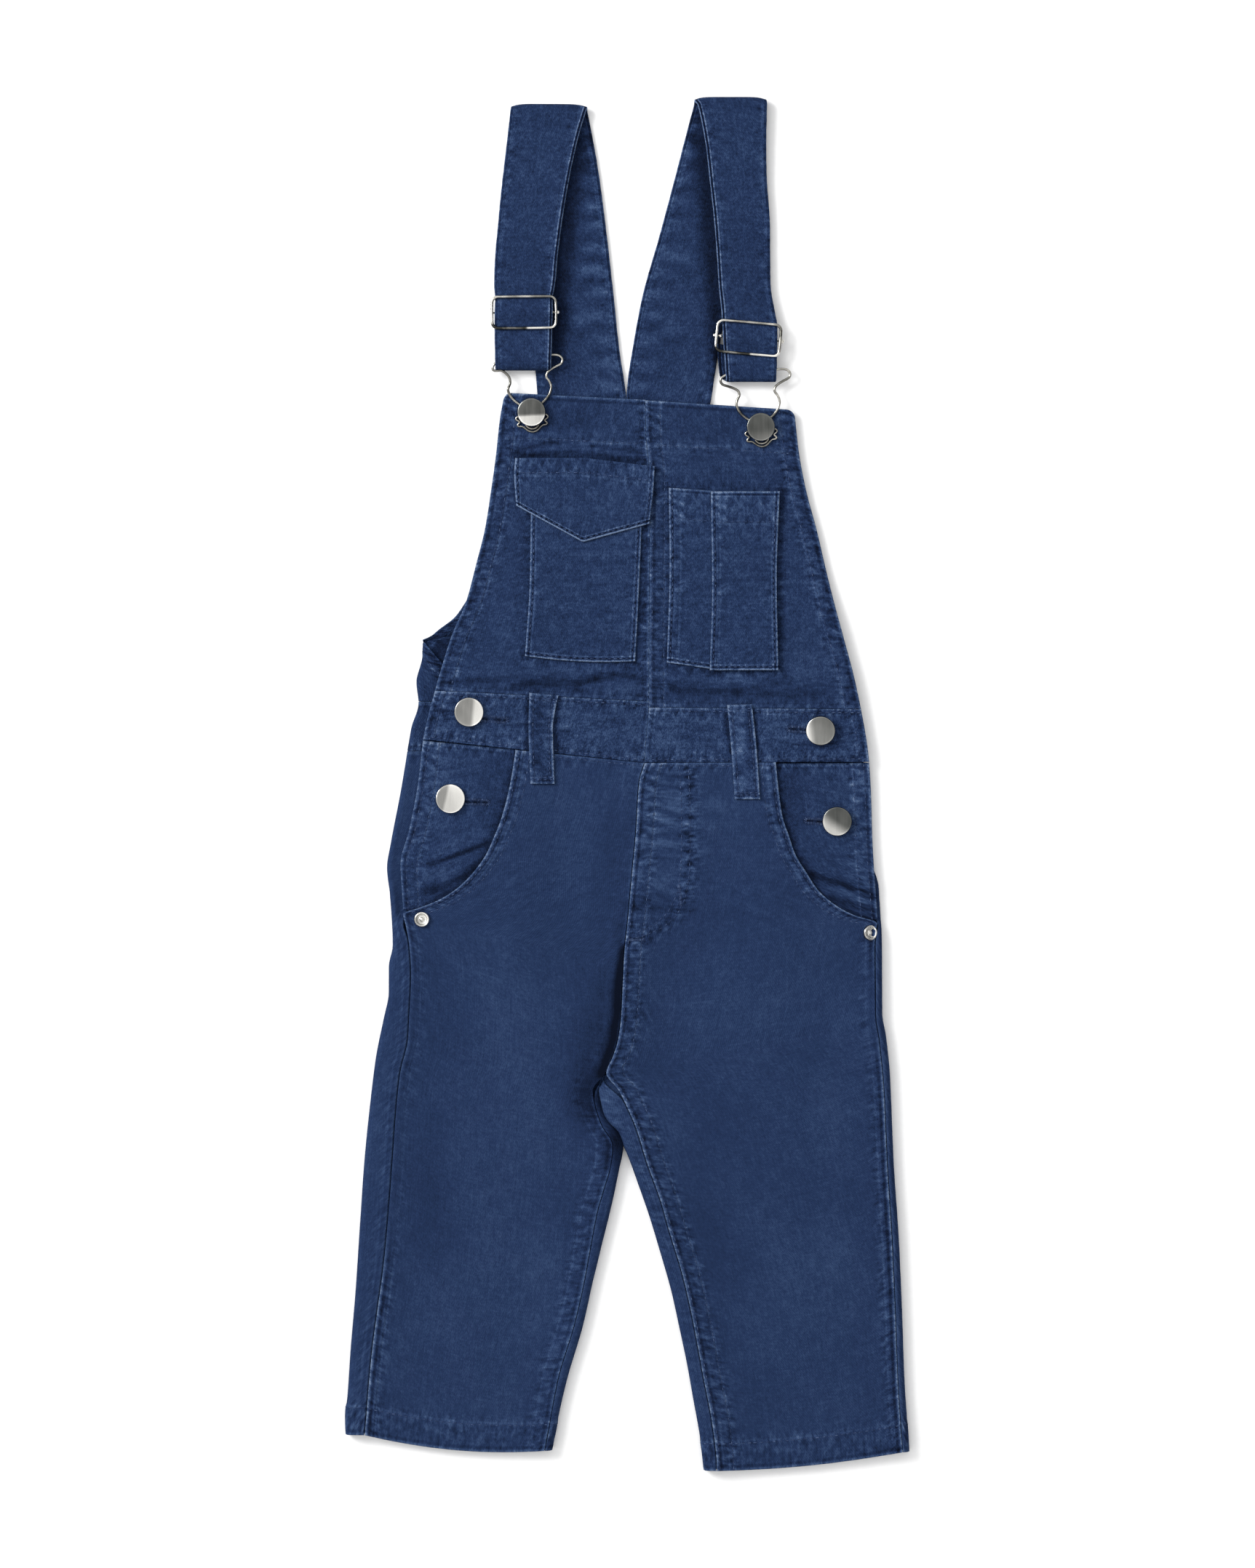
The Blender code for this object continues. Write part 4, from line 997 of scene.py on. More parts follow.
# The pocket mouths' edges, top to bottom: (y, x).
MOUTH_L = (
    (16.5, -57), (1, -59.5), (-17, -64), (-26, -67.5), (-36, -72), (-45, -78.5),
    (-52.5, -86), (-59, -96), (-63, -106), (-66, -114),
)
MOUTH_R = (
    (10.3, 75.5), (-8, 77.5), (-17, 79), (-26, 82), (-36, 85.5), (-45, 91), (-54, 97),
    (-62, 106.5), (-67, 116), (-70.5, 127),
)

# The slits, from the button outwards.
BUTTONHOLES = {
    "hip_facing_l": ((-85, -8.8), (-71.5, -9.4)), "waistband_l": ((-76, 33.4), (-62.0, 32.4)),
    "hip_facing_r": ((101.5, -19.4), (91.5, -18.6)), "waistband_r": ((93, 27.4), (82.5, 28.0)),
}
LIP = 1.15  # from a slit to the middle of the stitches round it
BUTTONHOLE_STITCH = {"pitch": 0.72, "length": 1.7, "crosswise": True}


def keyhole(slit):
    """The line of a buttonhole's stitches: out along one lip, round the end, back along the
    other."""
    (x0, y0), (x1, y1) = slit
    way = Vector((x1 - x0, y1 - y0, 0)).normalized()
    lip = Vector((-way.y, way.x, 0)) * LIP
    start, end = Vector((x0, y0, 0)), Vector((x1, y1, 0))
    round_end = (0.0, 0.5, 1.0, 1.57, 2.1, 2.6, 3.14)
    turn = [end + lip * math.cos(a) + way * LIP * math.sin(a) for a in round_end]
    return [p + Vector((0, 0, front_top(p.x, p.y))) for p in [start + lip] + turn + [start - lip]]


facing_indigo = indigo("facing_indigo", tone=0.01, bloom=0.8)
for slot, mouth, surface, outer, paint in (
    (
        "hip_facing_l", MOUTH_L,
        front_surface(FRONT_EDGE_L, FACING_L, ((22.3, 16.5, 0), (-63.5, -71, 0)), -1), "left",
        ((-68, -10, 8, 30, -0.08), (-80, -40, 10, 8, -0.06), (-96, 0, 10, 20, 0.05)),
    ),
    (
        "hip_facing_r", MOUTH_R,
        front_surface(FACING_R, FRONT_EDGE_R, ((10.5, 10.9, 0), (-77, -68.5, 0)), -1), "right",
        ((82, -10, 8, 30, -0.12), (96, -46, 10, 8, -0.10), (117, 0, 6, 14, 0.06)),
    ),
):
    hems = {outer: (9.0, 0.2, 0.55, 0.30), "top": (1.5, 0, 0.7, 0.16)}
    hole = BUTTONHOLES[slot]
    behind_mouth = [(x, y) for y, x in mouth]
    # The buttonhole's slit is painted shade, standing in for its opening, and painted shadow lies
    # along the cloth behind the mouth's edge.
    facing = cloth(
        slot, surface, ticks(60, 1.3), ticks(86, 1.3), hems, finished=facing_indigo, paint=paint,
        lines=[(hole, 2.2, 0.7, -0.40, 1.3), (behind_mouth, 4.0, 0.3, -0.20, 2.6)],
    )
    sew(slot + "_placket_stitching", facing, [facing.inside(outer, 3.0), facing.inside(outer, 8.5)])
    sew(slot + "_buttonhole", facing, [keyhole(hole)], **BUTTONHOLE_STITCH)
    facing.lay(["back_leg" + slot[-2:] + "_cloth"])

# ------------------------------------------------------------------ front legs
# Each front leg is one panel from the waist seam to the hem. Its pocket mouth is turned under
# and stitched twice, its side and inseam are sewn to the back, and the right one carries the
# mock fly, stitched in a hook.

FLY_HOOK = (
    (31, 8), (31.8, -10), (32, -30), (31.5, -46), (29.5, -58), (25, -67), (18, -73), (9, -77),
    (0.5, -79),
)
# Soft spots, as x, y and how far they reach in x and y, where the seams don't pucker.
CALM = {
    "front_leg_l": (
        (-2, -20, 16, 46), (-8, -100, 16, 40), (-16, -152, 10, 11), (-112, -112, 8, 34),
        (-118, -170, 8, 36), (-122, -215, 8, 30),
    ),
    "front_leg_r": ((126, -112, 6, 28),),
}
# The groove along the left of the centre seam, darkened with painted shade.
VALLEY = ((-1.6, -84), (-4.4, -100), (-5.6, -119), (-7.4, -131), (-9.9, -139), (-13.0, -147))
FLY_TACKS = (((0.5, -79.4), (4.5, -79.4), (9, -79.0)), ((26.2, -51), (26.8, -56), (27.4, -62)))
TACK_STITCH = {"pitch": 0.62, "length": 1.8, "crosswise": True}
FRONT_LEGS = (
    (
        "front_leg_l",
        front_surface(
            MOUTH_L + SIDE_SEAM_L[1:], shifted(FLY, -GAP / 2) + INSEAM_L[1:],
            ((17.4, 10.74, 0), (-17, -18, 0), (-45, -50, 0), (-57, -74, 0), (-62, -84, 0))
            + LEG_ROWS_L,
            0, outer_lift, inner_lift,
        ),
        {
            "left": (5.0, 0.2, 0.54, 0.44), "right": (8.0, 0.15, 0.42, 0.22),
            "top": (2.2, 0.1, 0.55, 0.20), "bottom": (LEG_HEM, 0.35, 0.42, 0.24),
        },
        ((VALLEY, 3.0, 0.0, -0.60, 2.2),),
        (
            # The darker spots down the left leg's right side and at the crotch are painted shade
            # beside the valley and under the right leg; the others make the leg a little paler or
            # darker.
            (-3.5, -78, 4.5, 15, -0.08), (-9, -106, 8, 20, -0.08), (-14, -134, 9, 18, -0.12),
            (-20, -161, 9, 15, -0.27), (-20, -118, 16, 36, -0.05), (-9, -186, 3.5, 12, -0.26),
            (-9, -40, 9, 40, -0.06), (-60, -150, 24, 60, 0.05), (-100, -190, 9, 80, -0.04),
            (-48, -240, 18, 60, 0.03), (-88, -285, 36, 50, 0.045), (-30, -20, 16, 30, 0.03),
        ),
    ),
    (
        "front_leg_r",
        front_surface(
            shifted(FLY, GAP / 2) + INSEAM_R[1:], MOUTH_R + SIDE_SEAM_R[1:],
            ((10.74, 11, 0), (-18, -18, 0), (-50, -46, 0), (-74, -58, 0), (-84, -64, 0))
            + tuple((inner, outer, sag) for outer, inner, sag in LEG_ROWS_R),
            0, inner_lift, outer_lift,
        ),
        {
            "right": (5.0, 0.2, 0.52, 0.42), "left": (9.0, 0.3, 0.60, 0.38),
            "top": (2.2, 0.1, 0.55, 0.20), "bottom": (LEG_HEM, 0.35, 0.42, 0.24),
        },
        ((FLY_HOOK, 5.5, 0.85, -0.08, 1.2),),
        (
            (60, -130, 26, 50, 0.02), (105, -180, 12, 80, 0.03), (40, -200, 12, 50, -0.03),
            (88, -270, 24, 60, 0.05), (16, -30, 12, 40, 0.04), (56, -60, 24, 24, -0.02),
        ),
    ),
)
for slot, surface, hems, lines, paint in FRONT_LEGS:
    outer, inner = ("left", "right") if slot.endswith("_l") else ("right", "left")
    seams = ("top", "right") if inner == "right" else ("top",)
    leg = cloth(
        slot, surface, ticks(125, 1.6), ticks(356, 1.6), hems, lines=lines, paint=paint,
        finished=leg_indigo, seams=seams, calm=CALM[slot],
    )
    mouth = [p for p in leg.inside(outer, 2.0) if p.y > -66]
    mouth_inside = [p for p in leg.inside(outer, 7.5) if p.y > -72]
    runs = [mouth, mouth_inside, leg.inside("bottom", LEG_HEM - 1.2), leg.inside("top", 1.6)]
    if inner == "left":
        fly = [Vector((x, y, front_top(x, y))) for x, y in FLY_HOOK]
        fly_inside = [Vector((x - 4.5, y + 1.5, front_top(x, y))) for x, y in FLY_HOOK[:-1]]
        runs += [fly, fly_inside, leg.inside(inner, 1.6), leg.inside(inner, 8.6)]
        tacks = [[Vector((x, y, front_top(x, y))) for x, y in run] for run in FLY_TACKS]
        sew("fly_tacks", leg, tacks, **TACK_STITCH)
    sew(slot + "_stitching", leg, runs)
    leg.lay(["back_leg" + slot[-2:] + "_cloth"])

# ------------------------------------------------------------------ front waistband
# Two bands of denim between the bib and the legs, joined at the centre seam. Both long edges are
# gathered a little by their stitching, and wear has bleached the middle of the bands.

CENTRE_SEAM = ((195.5, 9), (177, 9.5), (155, 11.5), (60, 11), (42, 11), (29, 10), (10.3, 8.5))
SEAM_SPLIT = 0.03  # from the centre seam to the edge of either half
centre_l = shifted(CENTRE_SEAM, -SEAM_SPLIT)
centre_r = shifted(CENTRE_SEAM, SEAM_SPLIT)
BAND_HEMS = {"top": (2.6, 0.15, 0.60, 0.26), "bottom": (2.4, 0.1, 0.62, 0.20)}
band_indigo = indigo("band_indigo", tone=0.015, bloom=1.1)
# Where the belt loops' sides shade the bands.
LOOP_SIDES = {
    "waistband_l": (((-50.6, 48), (-51.1, 12)), ((-34.6, 46), (-36.6, 29), (-36.2, 12))),
    "waistband_r": (((49.8, 42), (52.6, 10)), ((64.2, 42), (66.6, 10))),
}
for slot, foot, surface, side, centre, paint in (
    (
        "waistband_l", ((-105, 22.5), (8.5, 10.9)),
        front_surface(FRONT_EDGE_L, centre_l, ((47.5, 42, 0), (22.6, 10.8, 0))), "left", "right",
        ((-26, 28, 24, 9, 0.07), (-70, 30, 14, 8, 0.02), (-92, 34, 8, 8, -0.04)),
    ),
    (
        "waistband_r", ((8.5, 10.9), (123, 11.3)),
        front_surface(centre_r, FRONT_EDGE_R, ((39, 38, 0), (10.8, 11.2, 0))), "right", "left",
        ((28, 26, 20, 9, 0.06), (80, 26, 14, 8, 0.03), (108, 24, 8, 8, -0.03)),
    ),
):
    hems = {side: (6.0, 0.2, 0.5, 0.28), centre: (3.0, 0.1, 0.4, 0.16), **BAND_HEMS}
    hole = BUTTONHOLES[slot]
    # The buttonhole's slit is painted shade, standing in for its opening.
    band = cloth(
        slot, surface, ticks(115, 1.3), ticks(28, 1.3), hems, paint=paint,
        lines=[(hole, 2.2, 0.7, -0.36, 1.4), (foot, 2.0, 0.5, -0.30, 0.8)]
        + [(line, 1.0, 0.0, -0.28, 1.4) for line in LOOP_SIDES[slot]],
        finished=band_indigo, seams=("top", "bottom", centre),
    )
    sew(slot + "_buttonhole", band, [keyhole(hole)], **BUTTONHOLE_STITCH)
    runs = [band.inside("top", 1.8), band.inside("bottom", 1.6), band.inside(side, 5.0, 3)]
    sew(slot + "_stitching", band, runs)
    band.lay(["back_waistband_cloth"])

# ------------------------------------------------------------------ bib
# Two halves felled together down the centre. Their sides are hemmed and puckered, and the top is
# turned over deeply where the buttons are tacked through it.

BIB_HEM = (8.6, 0.3, 0.62, 0.30)
ROWS_L = ((199.2, 195.6, 0), (167, 167, 0), (92, 92, 0), (47.56, 42.06, 0))
ROWS_R = ((195.4, 190.4, 0), (167, 167, 0), (92, 92, 0), (39.06, 38.06, 0))
# The dark lines along the pockets, the flap's top and the centre seam are painted shade; the pale
# line near the top is its stitching.
for slot, surface, side, centre, paint, lines in (
    (
        "bib_l", front_surface(FRONT_EDGE_L, centre_l, ROWS_L, corners=((0, 3.4),)),
        "left", "right",
        ((-30, 184, 30, 8, -0.08), (-60, 80, 8, 26, 0.02), (-34, 50, 34, 6, -0.05)),
        (
            (((-50, 140), (-50.5, 103), (-52.5, 65)), 5.0, 0.5, -0.10, 2.2),
            (((-52.5, 64.5), (3.5, 61)), 5.0, 0.5, -0.10, 2.0),
            (((9, 140), (6.5, 93), (4.5, 62)), 3.0, 0.4, -0.12, 2.2),
            (((-58, 167.5), (14, 163)), 4.0, 0.4, -0.16, 2.4),
            (((-62, 175.2), (9, 172.6)), 2.0, 0.4, 0.10, 0.8),
        ),
    ),
    (
        "bib_r", front_surface(centre_r, FRONT_EDGE_R, ROWS_R, corners=((1, 3.8),)),
        "right", "left",
        ((40, 180, 34, 8, -0.03), (90, 90, 8, 30, 0.02), (60, 48, 36, 6, -0.04)),
        (
            (((20, 151), (20.3, 112), (19, 62)), 5.0, 0.6, -0.08, 2.0),
            (((19, 61.5), (42, 57.5), (77, 57.3)), 5.0, 0.6, -0.10, 2.0),
            (((78.3, 149), (77, 103), (77.3, 58)), 5.0, 0.5, -0.12, 2.2),
            (((21, 152), (78, 150.5)), 4.0, 0.4, -0.08, 1.8),
            (((9, 172.6), (86, 170.6)), 2.0, 0.4, 0.10, 0.8),
        ),
    ),
):
    felled = 7.6 if centre == "left" else 2.5
    hems = {
        side: BIB_HEM, centre: (felled, 0.15, 0.60, 0.26),
        "top": (22.8, 0.3, 0.14, 0.30), "bottom": (1.6, 0, 0.4, 0.06),
    }
    bib = cloth(
        slot, surface, ticks(84, 1.5), ticks(152, 1.5), hems, lines=lines, paint=paint,
        seams=("bottom", centre),
    )
    runs = [bib.inside(side, 7.6), bib.inside("top", 22.6, 3)]
    if centre == "left":
        runs += [bib.inside(centre, 1.4), bib.inside(centre, 7.4)]
    sew(slot + "_stitching", bib, runs)
    bib.lay(["back_bib_cloth"])

# ------------------------------------------------------------------ bib pockets and their flap
# Patch pockets turned under and stitched on. The left one has a pointed flap, and the right one
# laps over a narrow pen slot.

pocket_indigo = indigo("pocket_indigo", tone=0.0, bloom=0.88, twin=0.5, keen=1.2)
# Where the pockets' top hems are rubbed pale.
FRAYED = (
    (47, 142, 3.0, 6, 0.15), (58, 141, 3.4, 6, 0.07), (66, 142, 2.6, 6, 0.11),
    (73, 141, 2.6, 6, 0.06), (26, 142, 2.8, 6, 0.08), (36, 143, 3.0, 5, 0.05),
    (52, 147, 8, 2.0, 0.08),
)
PATCHES = (
    # name, layer, left line, right line, stops, size, hems, lies on
    (
        "bib_pocket_l", 1, ((150, -49), (103, -49.7), (66, -52)), ((150, 8), (93, 5.6), (63, 4)),
        ((149, 149, 0), (65, 62.4, 1.4)), (57, 86),
        {
            "left": (2.6, 0, 0.42, 0.44), "right": (2.6, 0, 0.42, 0.44),
            "bottom": (2.6, 0, 0.42, 0.56),
        },
        "bib_l_cloth",
    ),
    (
        "bib_flap_l", 2, ((166, -57), (158, -57.6), (141.5, -56.6)),
        ((162, 14), (150, 13.2), (132.5, 11.2)),
        ((165.8, 161.5, -2.2), (152, 147, 2), (141.5, 132.3, 14)), (69, 32),
        {
            "left": (2.4, 0, 0.42, 0.52), "right": (2.4, 0, 0.42, 0.40),
            "top": (9.0, 0.3, 0.5, 0.06), "bottom": (2.4, 0, 0.42, 0.90),
        },
        "bib_pocket_l_cloth",
    ),
    (
        "bib_pen_slot_r", 1, ((151, 21), (112, 21.4), (62, 20)),
        ((151, 43.7), (100, 44.2), (59, 43.2)),
        ((150.8, 149.2, 0), (61.8, 58.4, 0)), (23, 90),
        {
            "left": (5.6, 0, 0.60, 0.46), "top": (16.0, 0.2, 0.4, 0.28),
            "bottom": (2.6, 0, 0.42, 0.56),
        },
        "bib_r_cloth",
    ),
    (
        "bib_pocket_r", 2, ((150, 42.3), (100, 43), (58, 41.8)),
        ((149, 77.4), (103, 75.9), (58, 76.6)),
        ((148.8, 148.8, 0), (57.8, 57.8, 0)), (34, 90),
        {
            "left": (4.0, 0.2, 0.5, 0.42), "right": (2.6, 0, 0.42, 0.48),
            "top": (16.5, 0.3, 0.45, 0.42), "bottom": (2.6, 0, 0.42, 0.56),
        },
        "bib_r_cloth",
    ),
)
for slot, layer, left, right, stops, (wide, tall), hems, rests_on in PATCHES:
    surface = front_surface(left, right, stops, layer, pointed=slot == "bib_flap_l")
    frayed = FRAYED if slot.endswith("_r") else ()
    patch = cloth(
        slot, surface, ticks(wide, 1.3), ticks(tall, 1.4), hems, paint=frayed,
        finished=pocket_indigo,
    )
    runs = [patch.inside(side, 1.7, 2) for side in hems if side != "top"]
    if slot.endswith("_r"):
        runs.append(patch.inside("top", 15.5, 2))
    if slot == "bib_flap_l":
        runs.append(patch.inside("top", 7.5, 2))
    sew(slot + "_stitching", patch, runs, pitch=2.9)
    patch.lay([rests_on])

# ------------------------------------------------------------------ belt loops
# Strips of denim folded in three and tacked over the waistband. The left one is darker.

LOOP_HEMS = {
    "left": (2.6, 0.1, 0.45, 0.30), "right": (2.6, 0.1, 0.45, 0.46),
    "top": (3.0, 0.2, 0.4, 0.20), "bottom": (3.0, 0.2, 0.5, 0.36),
}
loop_indigo = indigo("loop_indigo", tone=0.0, bloom=1.05)
for slot, left, right, stops, paint in (
    (
        "belt_loop_l", ((47, -49.8), (29, -50.3), (0, -49.3)),
        ((47, -34.5), (38, -36.5), (29, -37.8), (0, -37)), ((46.5, 45, 0), (0, 0, 0)),
        (
            (-44.5, 34, 2.6, 12, -0.14), (-44.8, 12, 2.4, 9, -0.14), (-41, 20, 3, 6, 0.16),
            (-39, 36, 3, 8, 0.10), (-47, 3, 4, 4, 0.12),
        ),
    ),
    (
        "belt_loop_r", ((41, 50.5), (20, 52.5), (-8, 54.5)),
        ((41, 63.2), (20, 65.5), (-8, 67.5)), ((40.3, 40.6, 0), (-7.8, -7.8, 0)),
        (
            (56.5, 32, 3, 7, 0.12), (57, 17, 4, 6, 0.24), (59, 8, 3, 4, -0.06),
            (60, 0, 5, 5, 0.18), (62, 24, 1.6, 18, -0.12),
        ),
    ),
):
    loop = cloth(
        slot, front_surface(left, right, stops, 1), ticks(13, 1.1), ticks(47, 1.3), LOOP_HEMS,
        finished=loop_indigo, paint=paint,
    )
    sides = [loop.inside(side, 2.2, 3) for side in ("left", "right")]
    ends = [loop.inside(end, depth) for end in ("top", "bottom") for depth in (2.2, 3.4)]
    sew(slot + "_stitching", loop, sides + ends, pitch=2.6)
    loop.lay(["waistband" + slot[-2:] + "_cloth"])

# ------------------------------------------------------------------ straps
# Each strap is a strip of denim folded double and stitched. It comes up from the back, folds
# over at the shoulder, runs down through its slider and round the hook's bar, and back up to
# the slider.

STRAP_HALF = 0.8  # half of a folded strap's thickness
STRAP_WALL = 0.7
FACE_SHARE, EDGE_SHARE = 0.46, 0.04  # of a strap's columns, for each face and each edge
CORNER_DROP = 1.2  # how far the corners of the shoulder's fold hang back
CORNER_REACH = 9.0  # and how far from the fold they do
# Each row is left x, left y, right x, right y, and the height of the strap's middle: up the
# back to the shoulder, down the front to the hook's bar, and back up to the slider.
STRAPS = {
    "strap_l": (
        (
            (-45.3, 190.2, -0.6, 190.2, 0.8), (-46, 200, -0.8, 199, 0.8), (-47.7, 220, -4, 220, 0.8),
            (-50.3, 250, -7.2, 250, 0.8), (-53, 280, -10.6, 280, 0.8), (-56, 312, -14.8, 312, 0.8),
            (-59.3, 343.8, -20.4, 343.6, 0.8),
        ),
        (
            (-59.5, 343.8, -21, 343.6, 4.2), (-61.5, 325, -26, 325, 3.9), (-63.8, 306, -30, 306, 3.2),
            (-65.6, 288, -33, 288, 2.9), (-67.3, 269, -35.5, 269, 3.0), (-67.8, 255, -36.7, 255, 3.8),
            (-67.4, 247.3, -37.9, 247.6, 4.6), (-67.4, 243.2, -38, 243.5, 5.6),
            (-67.5, 239.9, -38, 240.2, 6.5), (-67.5, 236.6, -38.1, 236.9, 5.7),
            (-67.6, 232.4, -38.3, 232.7, 4.6), (-67.5, 225, -38.4, 225, 5.5),
            (-67.3, 218, -38.6, 218, 6.5), (-67.2, 212.8, -38.8, 212.8, 6.2),
        ),
        ((-67.2, 212.8, -38.8, 212.8, 2.7), (-67.5, 236, -38.2, 236, 2.7)),
    ),
    "strap_r": (
        (
            (-0.3, 190.2, 41.5, 190.2, 0.8), (-0.4, 200, 43.1, 199, 0.8), (2.3, 220, 46.3, 220, 0.8),
            (8, 250, 51.5, 250, 0.8), (16.5, 280, 57.5, 280, 0.8), (25, 312, 64, 312, 0.8),
            (34, 347.3, 70.8, 347.3, 0.8),
        ),
        (
            (35.5, 347.3, 71, 347.3, 4.2), (39.8, 325, 70.6, 325, 3.8), (42, 306, 71, 306, 3.2),
            (44, 288, 72.4, 288, 2.9), (45.5, 269, 72.6, 269, 2.9), (46.6, 252, 73, 252, 3.2),
            (47.6, 243, 75, 240, 3.8), (48, 235.8, 76.2, 233.4, 4.6), (48.3, 231.8, 76.2, 229.2, 5.6),
            (48.5, 227.8, 76.2, 225.4, 6.5), (48.7, 224.8, 76.1, 222.3, 5.7),
            (49, 220.6, 76, 217.9, 4.6), (49.4, 216, 75.9, 214.5, 5.9), (49.7, 210.5, 75.8, 211, 6.5),
            (50, 206.8, 75.6, 206.8, 6.3),
        ),
        ((47.2, 206.8, 75.6, 206.8, 2.7), (45.6, 224, 76, 221, 2.7)),
    ),
}


def fold_rows(row, radius, end):
    """Rows round a fold. It turns up at the shoulder, end 1, and down at the hook, end -1."""
    x0, y0, x1, y1, z = row
    rows = []
    for k in range(1, 4):
        angle = math.pi * k / 4
        reach, height = end * radius * math.sin(angle), z + end * radius * (1 - math.cos(angle))
        rows.append((x0, y0 + reach, x1, y1 + reach, height))
    return rows


def curve_through(points, marks, mark):
    """A smooth curve through points at their marks, and the way it runs."""
    at = mark_before(marks, mark)

    def slope(i):
        low, high = max(i - 1, 0), min(i + 1, len(points) - 1)
        return (points[high] - points[low]) / (marks[high] - marks[low])

    span = marks[at + 1] - marks[at]
    t = (mark - marks[at]) / span
    start, end = slope(at) * span, slope(at + 1) * span
    place = points[at] * (1 + 2 * t) * (1 - t) ** 2 + points[at + 1] * t * t * (3 - 2 * t)
    place += start * t * (1 - t) ** 2 - end * t * t * (1 - t)
    way = (points[at + 1] - points[at]) * 6 * t * (1 - t)
    way += start * (1 - t) * (1 - 3 * t) + end * t * (3 * t - 2)
    return place, way


def strap_surface(back, front, returned):
    """The strap's outer face, all the way round it: along its top, over its right edge, back
    under it and over its left edge."""
    shoulder = fold_rows(back[-1], (front[0][4] - back[-1][4]) / 2, 1)
    hook_end = fold_rows(front[-1], (front[-1][4] - returned[0][4]) / 2, -1)
    rows = back + tuple(shoulder) + front + tuple(hook_end) + returned
    lefts = [Vector((row[0], row[1], row[4])) for row in rows]
    rights = [Vector((row[2], row[3], row[4])) for row in rows]
    marks = along([left.lerp(right, 0.5) for left, right in zip(lefts, rights)])
    fold_mark = marks[len(back) + 1]
    kept = {}

    def point(u, v):
        if v not in kept:
            kept.clear()
            left, way_left = curve_through(lefts, marks, v * marks[-1])
            right, way_right = curve_through(rights, marks, v * marks[-1])
            kept[v] = left, right, (right - left).cross(way_left + way_right).normalized()
        left, right, out = kept[v]
        side = (right - left).normalized()
        half = STRAP_HALF
        span = (right - left).length - 2 * half
        near_fold = math.exp(-(((v * marks[-1] - fold_mark) / CORNER_REACH) ** 2))
        if near_fold > 0.01:
            across_it = 2 * u / FACE_SHARE - 1 if u <= 0.5 else 1 - 2 * (u - 0.5) / FACE_SHARE
            drop = Vector((0, -CORNER_DROP * min(abs(across_it), 1.0) ** 6 * near_fold, 0))
            left, right = left + drop, right + drop
        if u <= FACE_SHARE:
            return left + side * (half + span * u / FACE_SHARE) - out * half
        if u < 0.5:
            angle = math.pi * (u - FACE_SHARE) / EDGE_SHARE
            return right - side * (half - half * math.sin(angle)) - out * half * math.cos(angle)
        if u <= 0.5 + FACE_SHARE:
            return right - side * (half + span * (u - 0.5) / FACE_SHARE) + out * half
        angle = math.pi * (u - 0.5 - FACE_SHARE) / EDGE_SHARE
        return left + side * (half - half * math.sin(angle)) + out * half * math.cos(angle)

    return point


strap_indigo = indigo("strap_indigo", tone=-0.02, bloom=0.9, twin=0.9, keen=1.35)
TOP_COLUMNS = [FACE_SHARE * k / 20 for k in range(21)]
EDGE_COLUMNS = [FACE_SHARE + EDGE_SHARE * k / 8 for k in range(1, 8)]
STRAP_COLUMNS = TOP_COLUMNS + EDGE_COLUMNS
STRAP_COLUMNS += [0.5 + u for u in STRAP_COLUMNS] + [1.0]
STRAP_FOLDS = (24, -5)  # the columns in the middle of its two edges
STRAP_ROWS = [k / 200 for k in range(201)]
# On the lower length: where the upper one shades it, painted as shade, and the pale lumps down its
# stitching, partly wear and partly painted light, each with painted shade in a hollow below it. The
# spots give their reach in x and y and how pale they are.
SHADE_SPOT, LUMP_SPOT, SHADED_HOLLOW_SPOT = (5.0, 12, -0.27), (5.4, 2.8, 0.15), (6.0, 2.4, -0.08)
LUMP_TO_HOLLOW = 6
SHADED = {
    "strap_l": (
        (-18, 336), (-23, 320), (-27, 304), (-30, 288), (-32, 272), (-34, 256), (-35, 240),
        (-36, 225),
    ),
    "strap_r": (
        (34, 340), (38, 322), (40, 306), (42, 290), (43, 274), (44, 258), (45, 242), (46, 226),
        (47, 212),
    ),
}
LUMPS = {
    "strap_l": (
        (-22, 334), (-21.5, 320), (-20, 307), (-19, 294.5), (-18.5, 284), (-17, 273), (-16, 262),
        (-14.5, 251), (-13.5, 239), (-12.5, 226), (-11, 214), (-10, 203), (-22, 262), (-24, 236),
    ),
    "strap_r": (
        (35, 334), (31.5, 321), (28, 309), (24.5, 296), (21.5, 284), (20, 271), (17.5, 261),
        (16, 250), (13.5, 239), (10.5, 226), (8, 213), (7, 203), (26, 268), (22, 232),
    ),
}
for slot, (back, front, returned) in STRAPS.items():
    paint = [(x, y, *SHADE_SPOT) for x, y in SHADED[slot]]
    paint += [(x, y, *LUMP_SPOT) for x, y in LUMPS[slot]]
    paint += [(x, y - LUMP_TO_HOLLOW, *SHADED_HOLLOW_SPOT) for x, y in LUMPS[slot]]
    # On the right strap, painted shadow darkens the lower ply where it shows beside the upper one at
    # the hook.
    under = [(((46.4, 224), (47.4, 206)), 1.5, 0.0, -0.60, 1.5)] if slot == "strap_r" else []
    inner, outer = (3.6, 0, 0.42, 0.78), (3.2, 0, 0.42, 0.14)
    left, right = (inner, outer) if slot == "strap_l" else (outer, inner)
    strap = cloth(
        slot, strap_surface(back, front, returned), STRAP_COLUMNS, STRAP_ROWS,
        {"left": left, "right": right}, wall=STRAP_WALL, tube=True, folds=STRAP_FOLDS,
        lines=under, paint=paint, finished=strap_indigo,
    )
    strap.lay(["floor"])

# ------------------------------------------------------------------ buttons and rivets
# Flat nickel-plated shank buttons, stamped in two parts, and eyelet rivets at the ends of the
# pocket mouths.

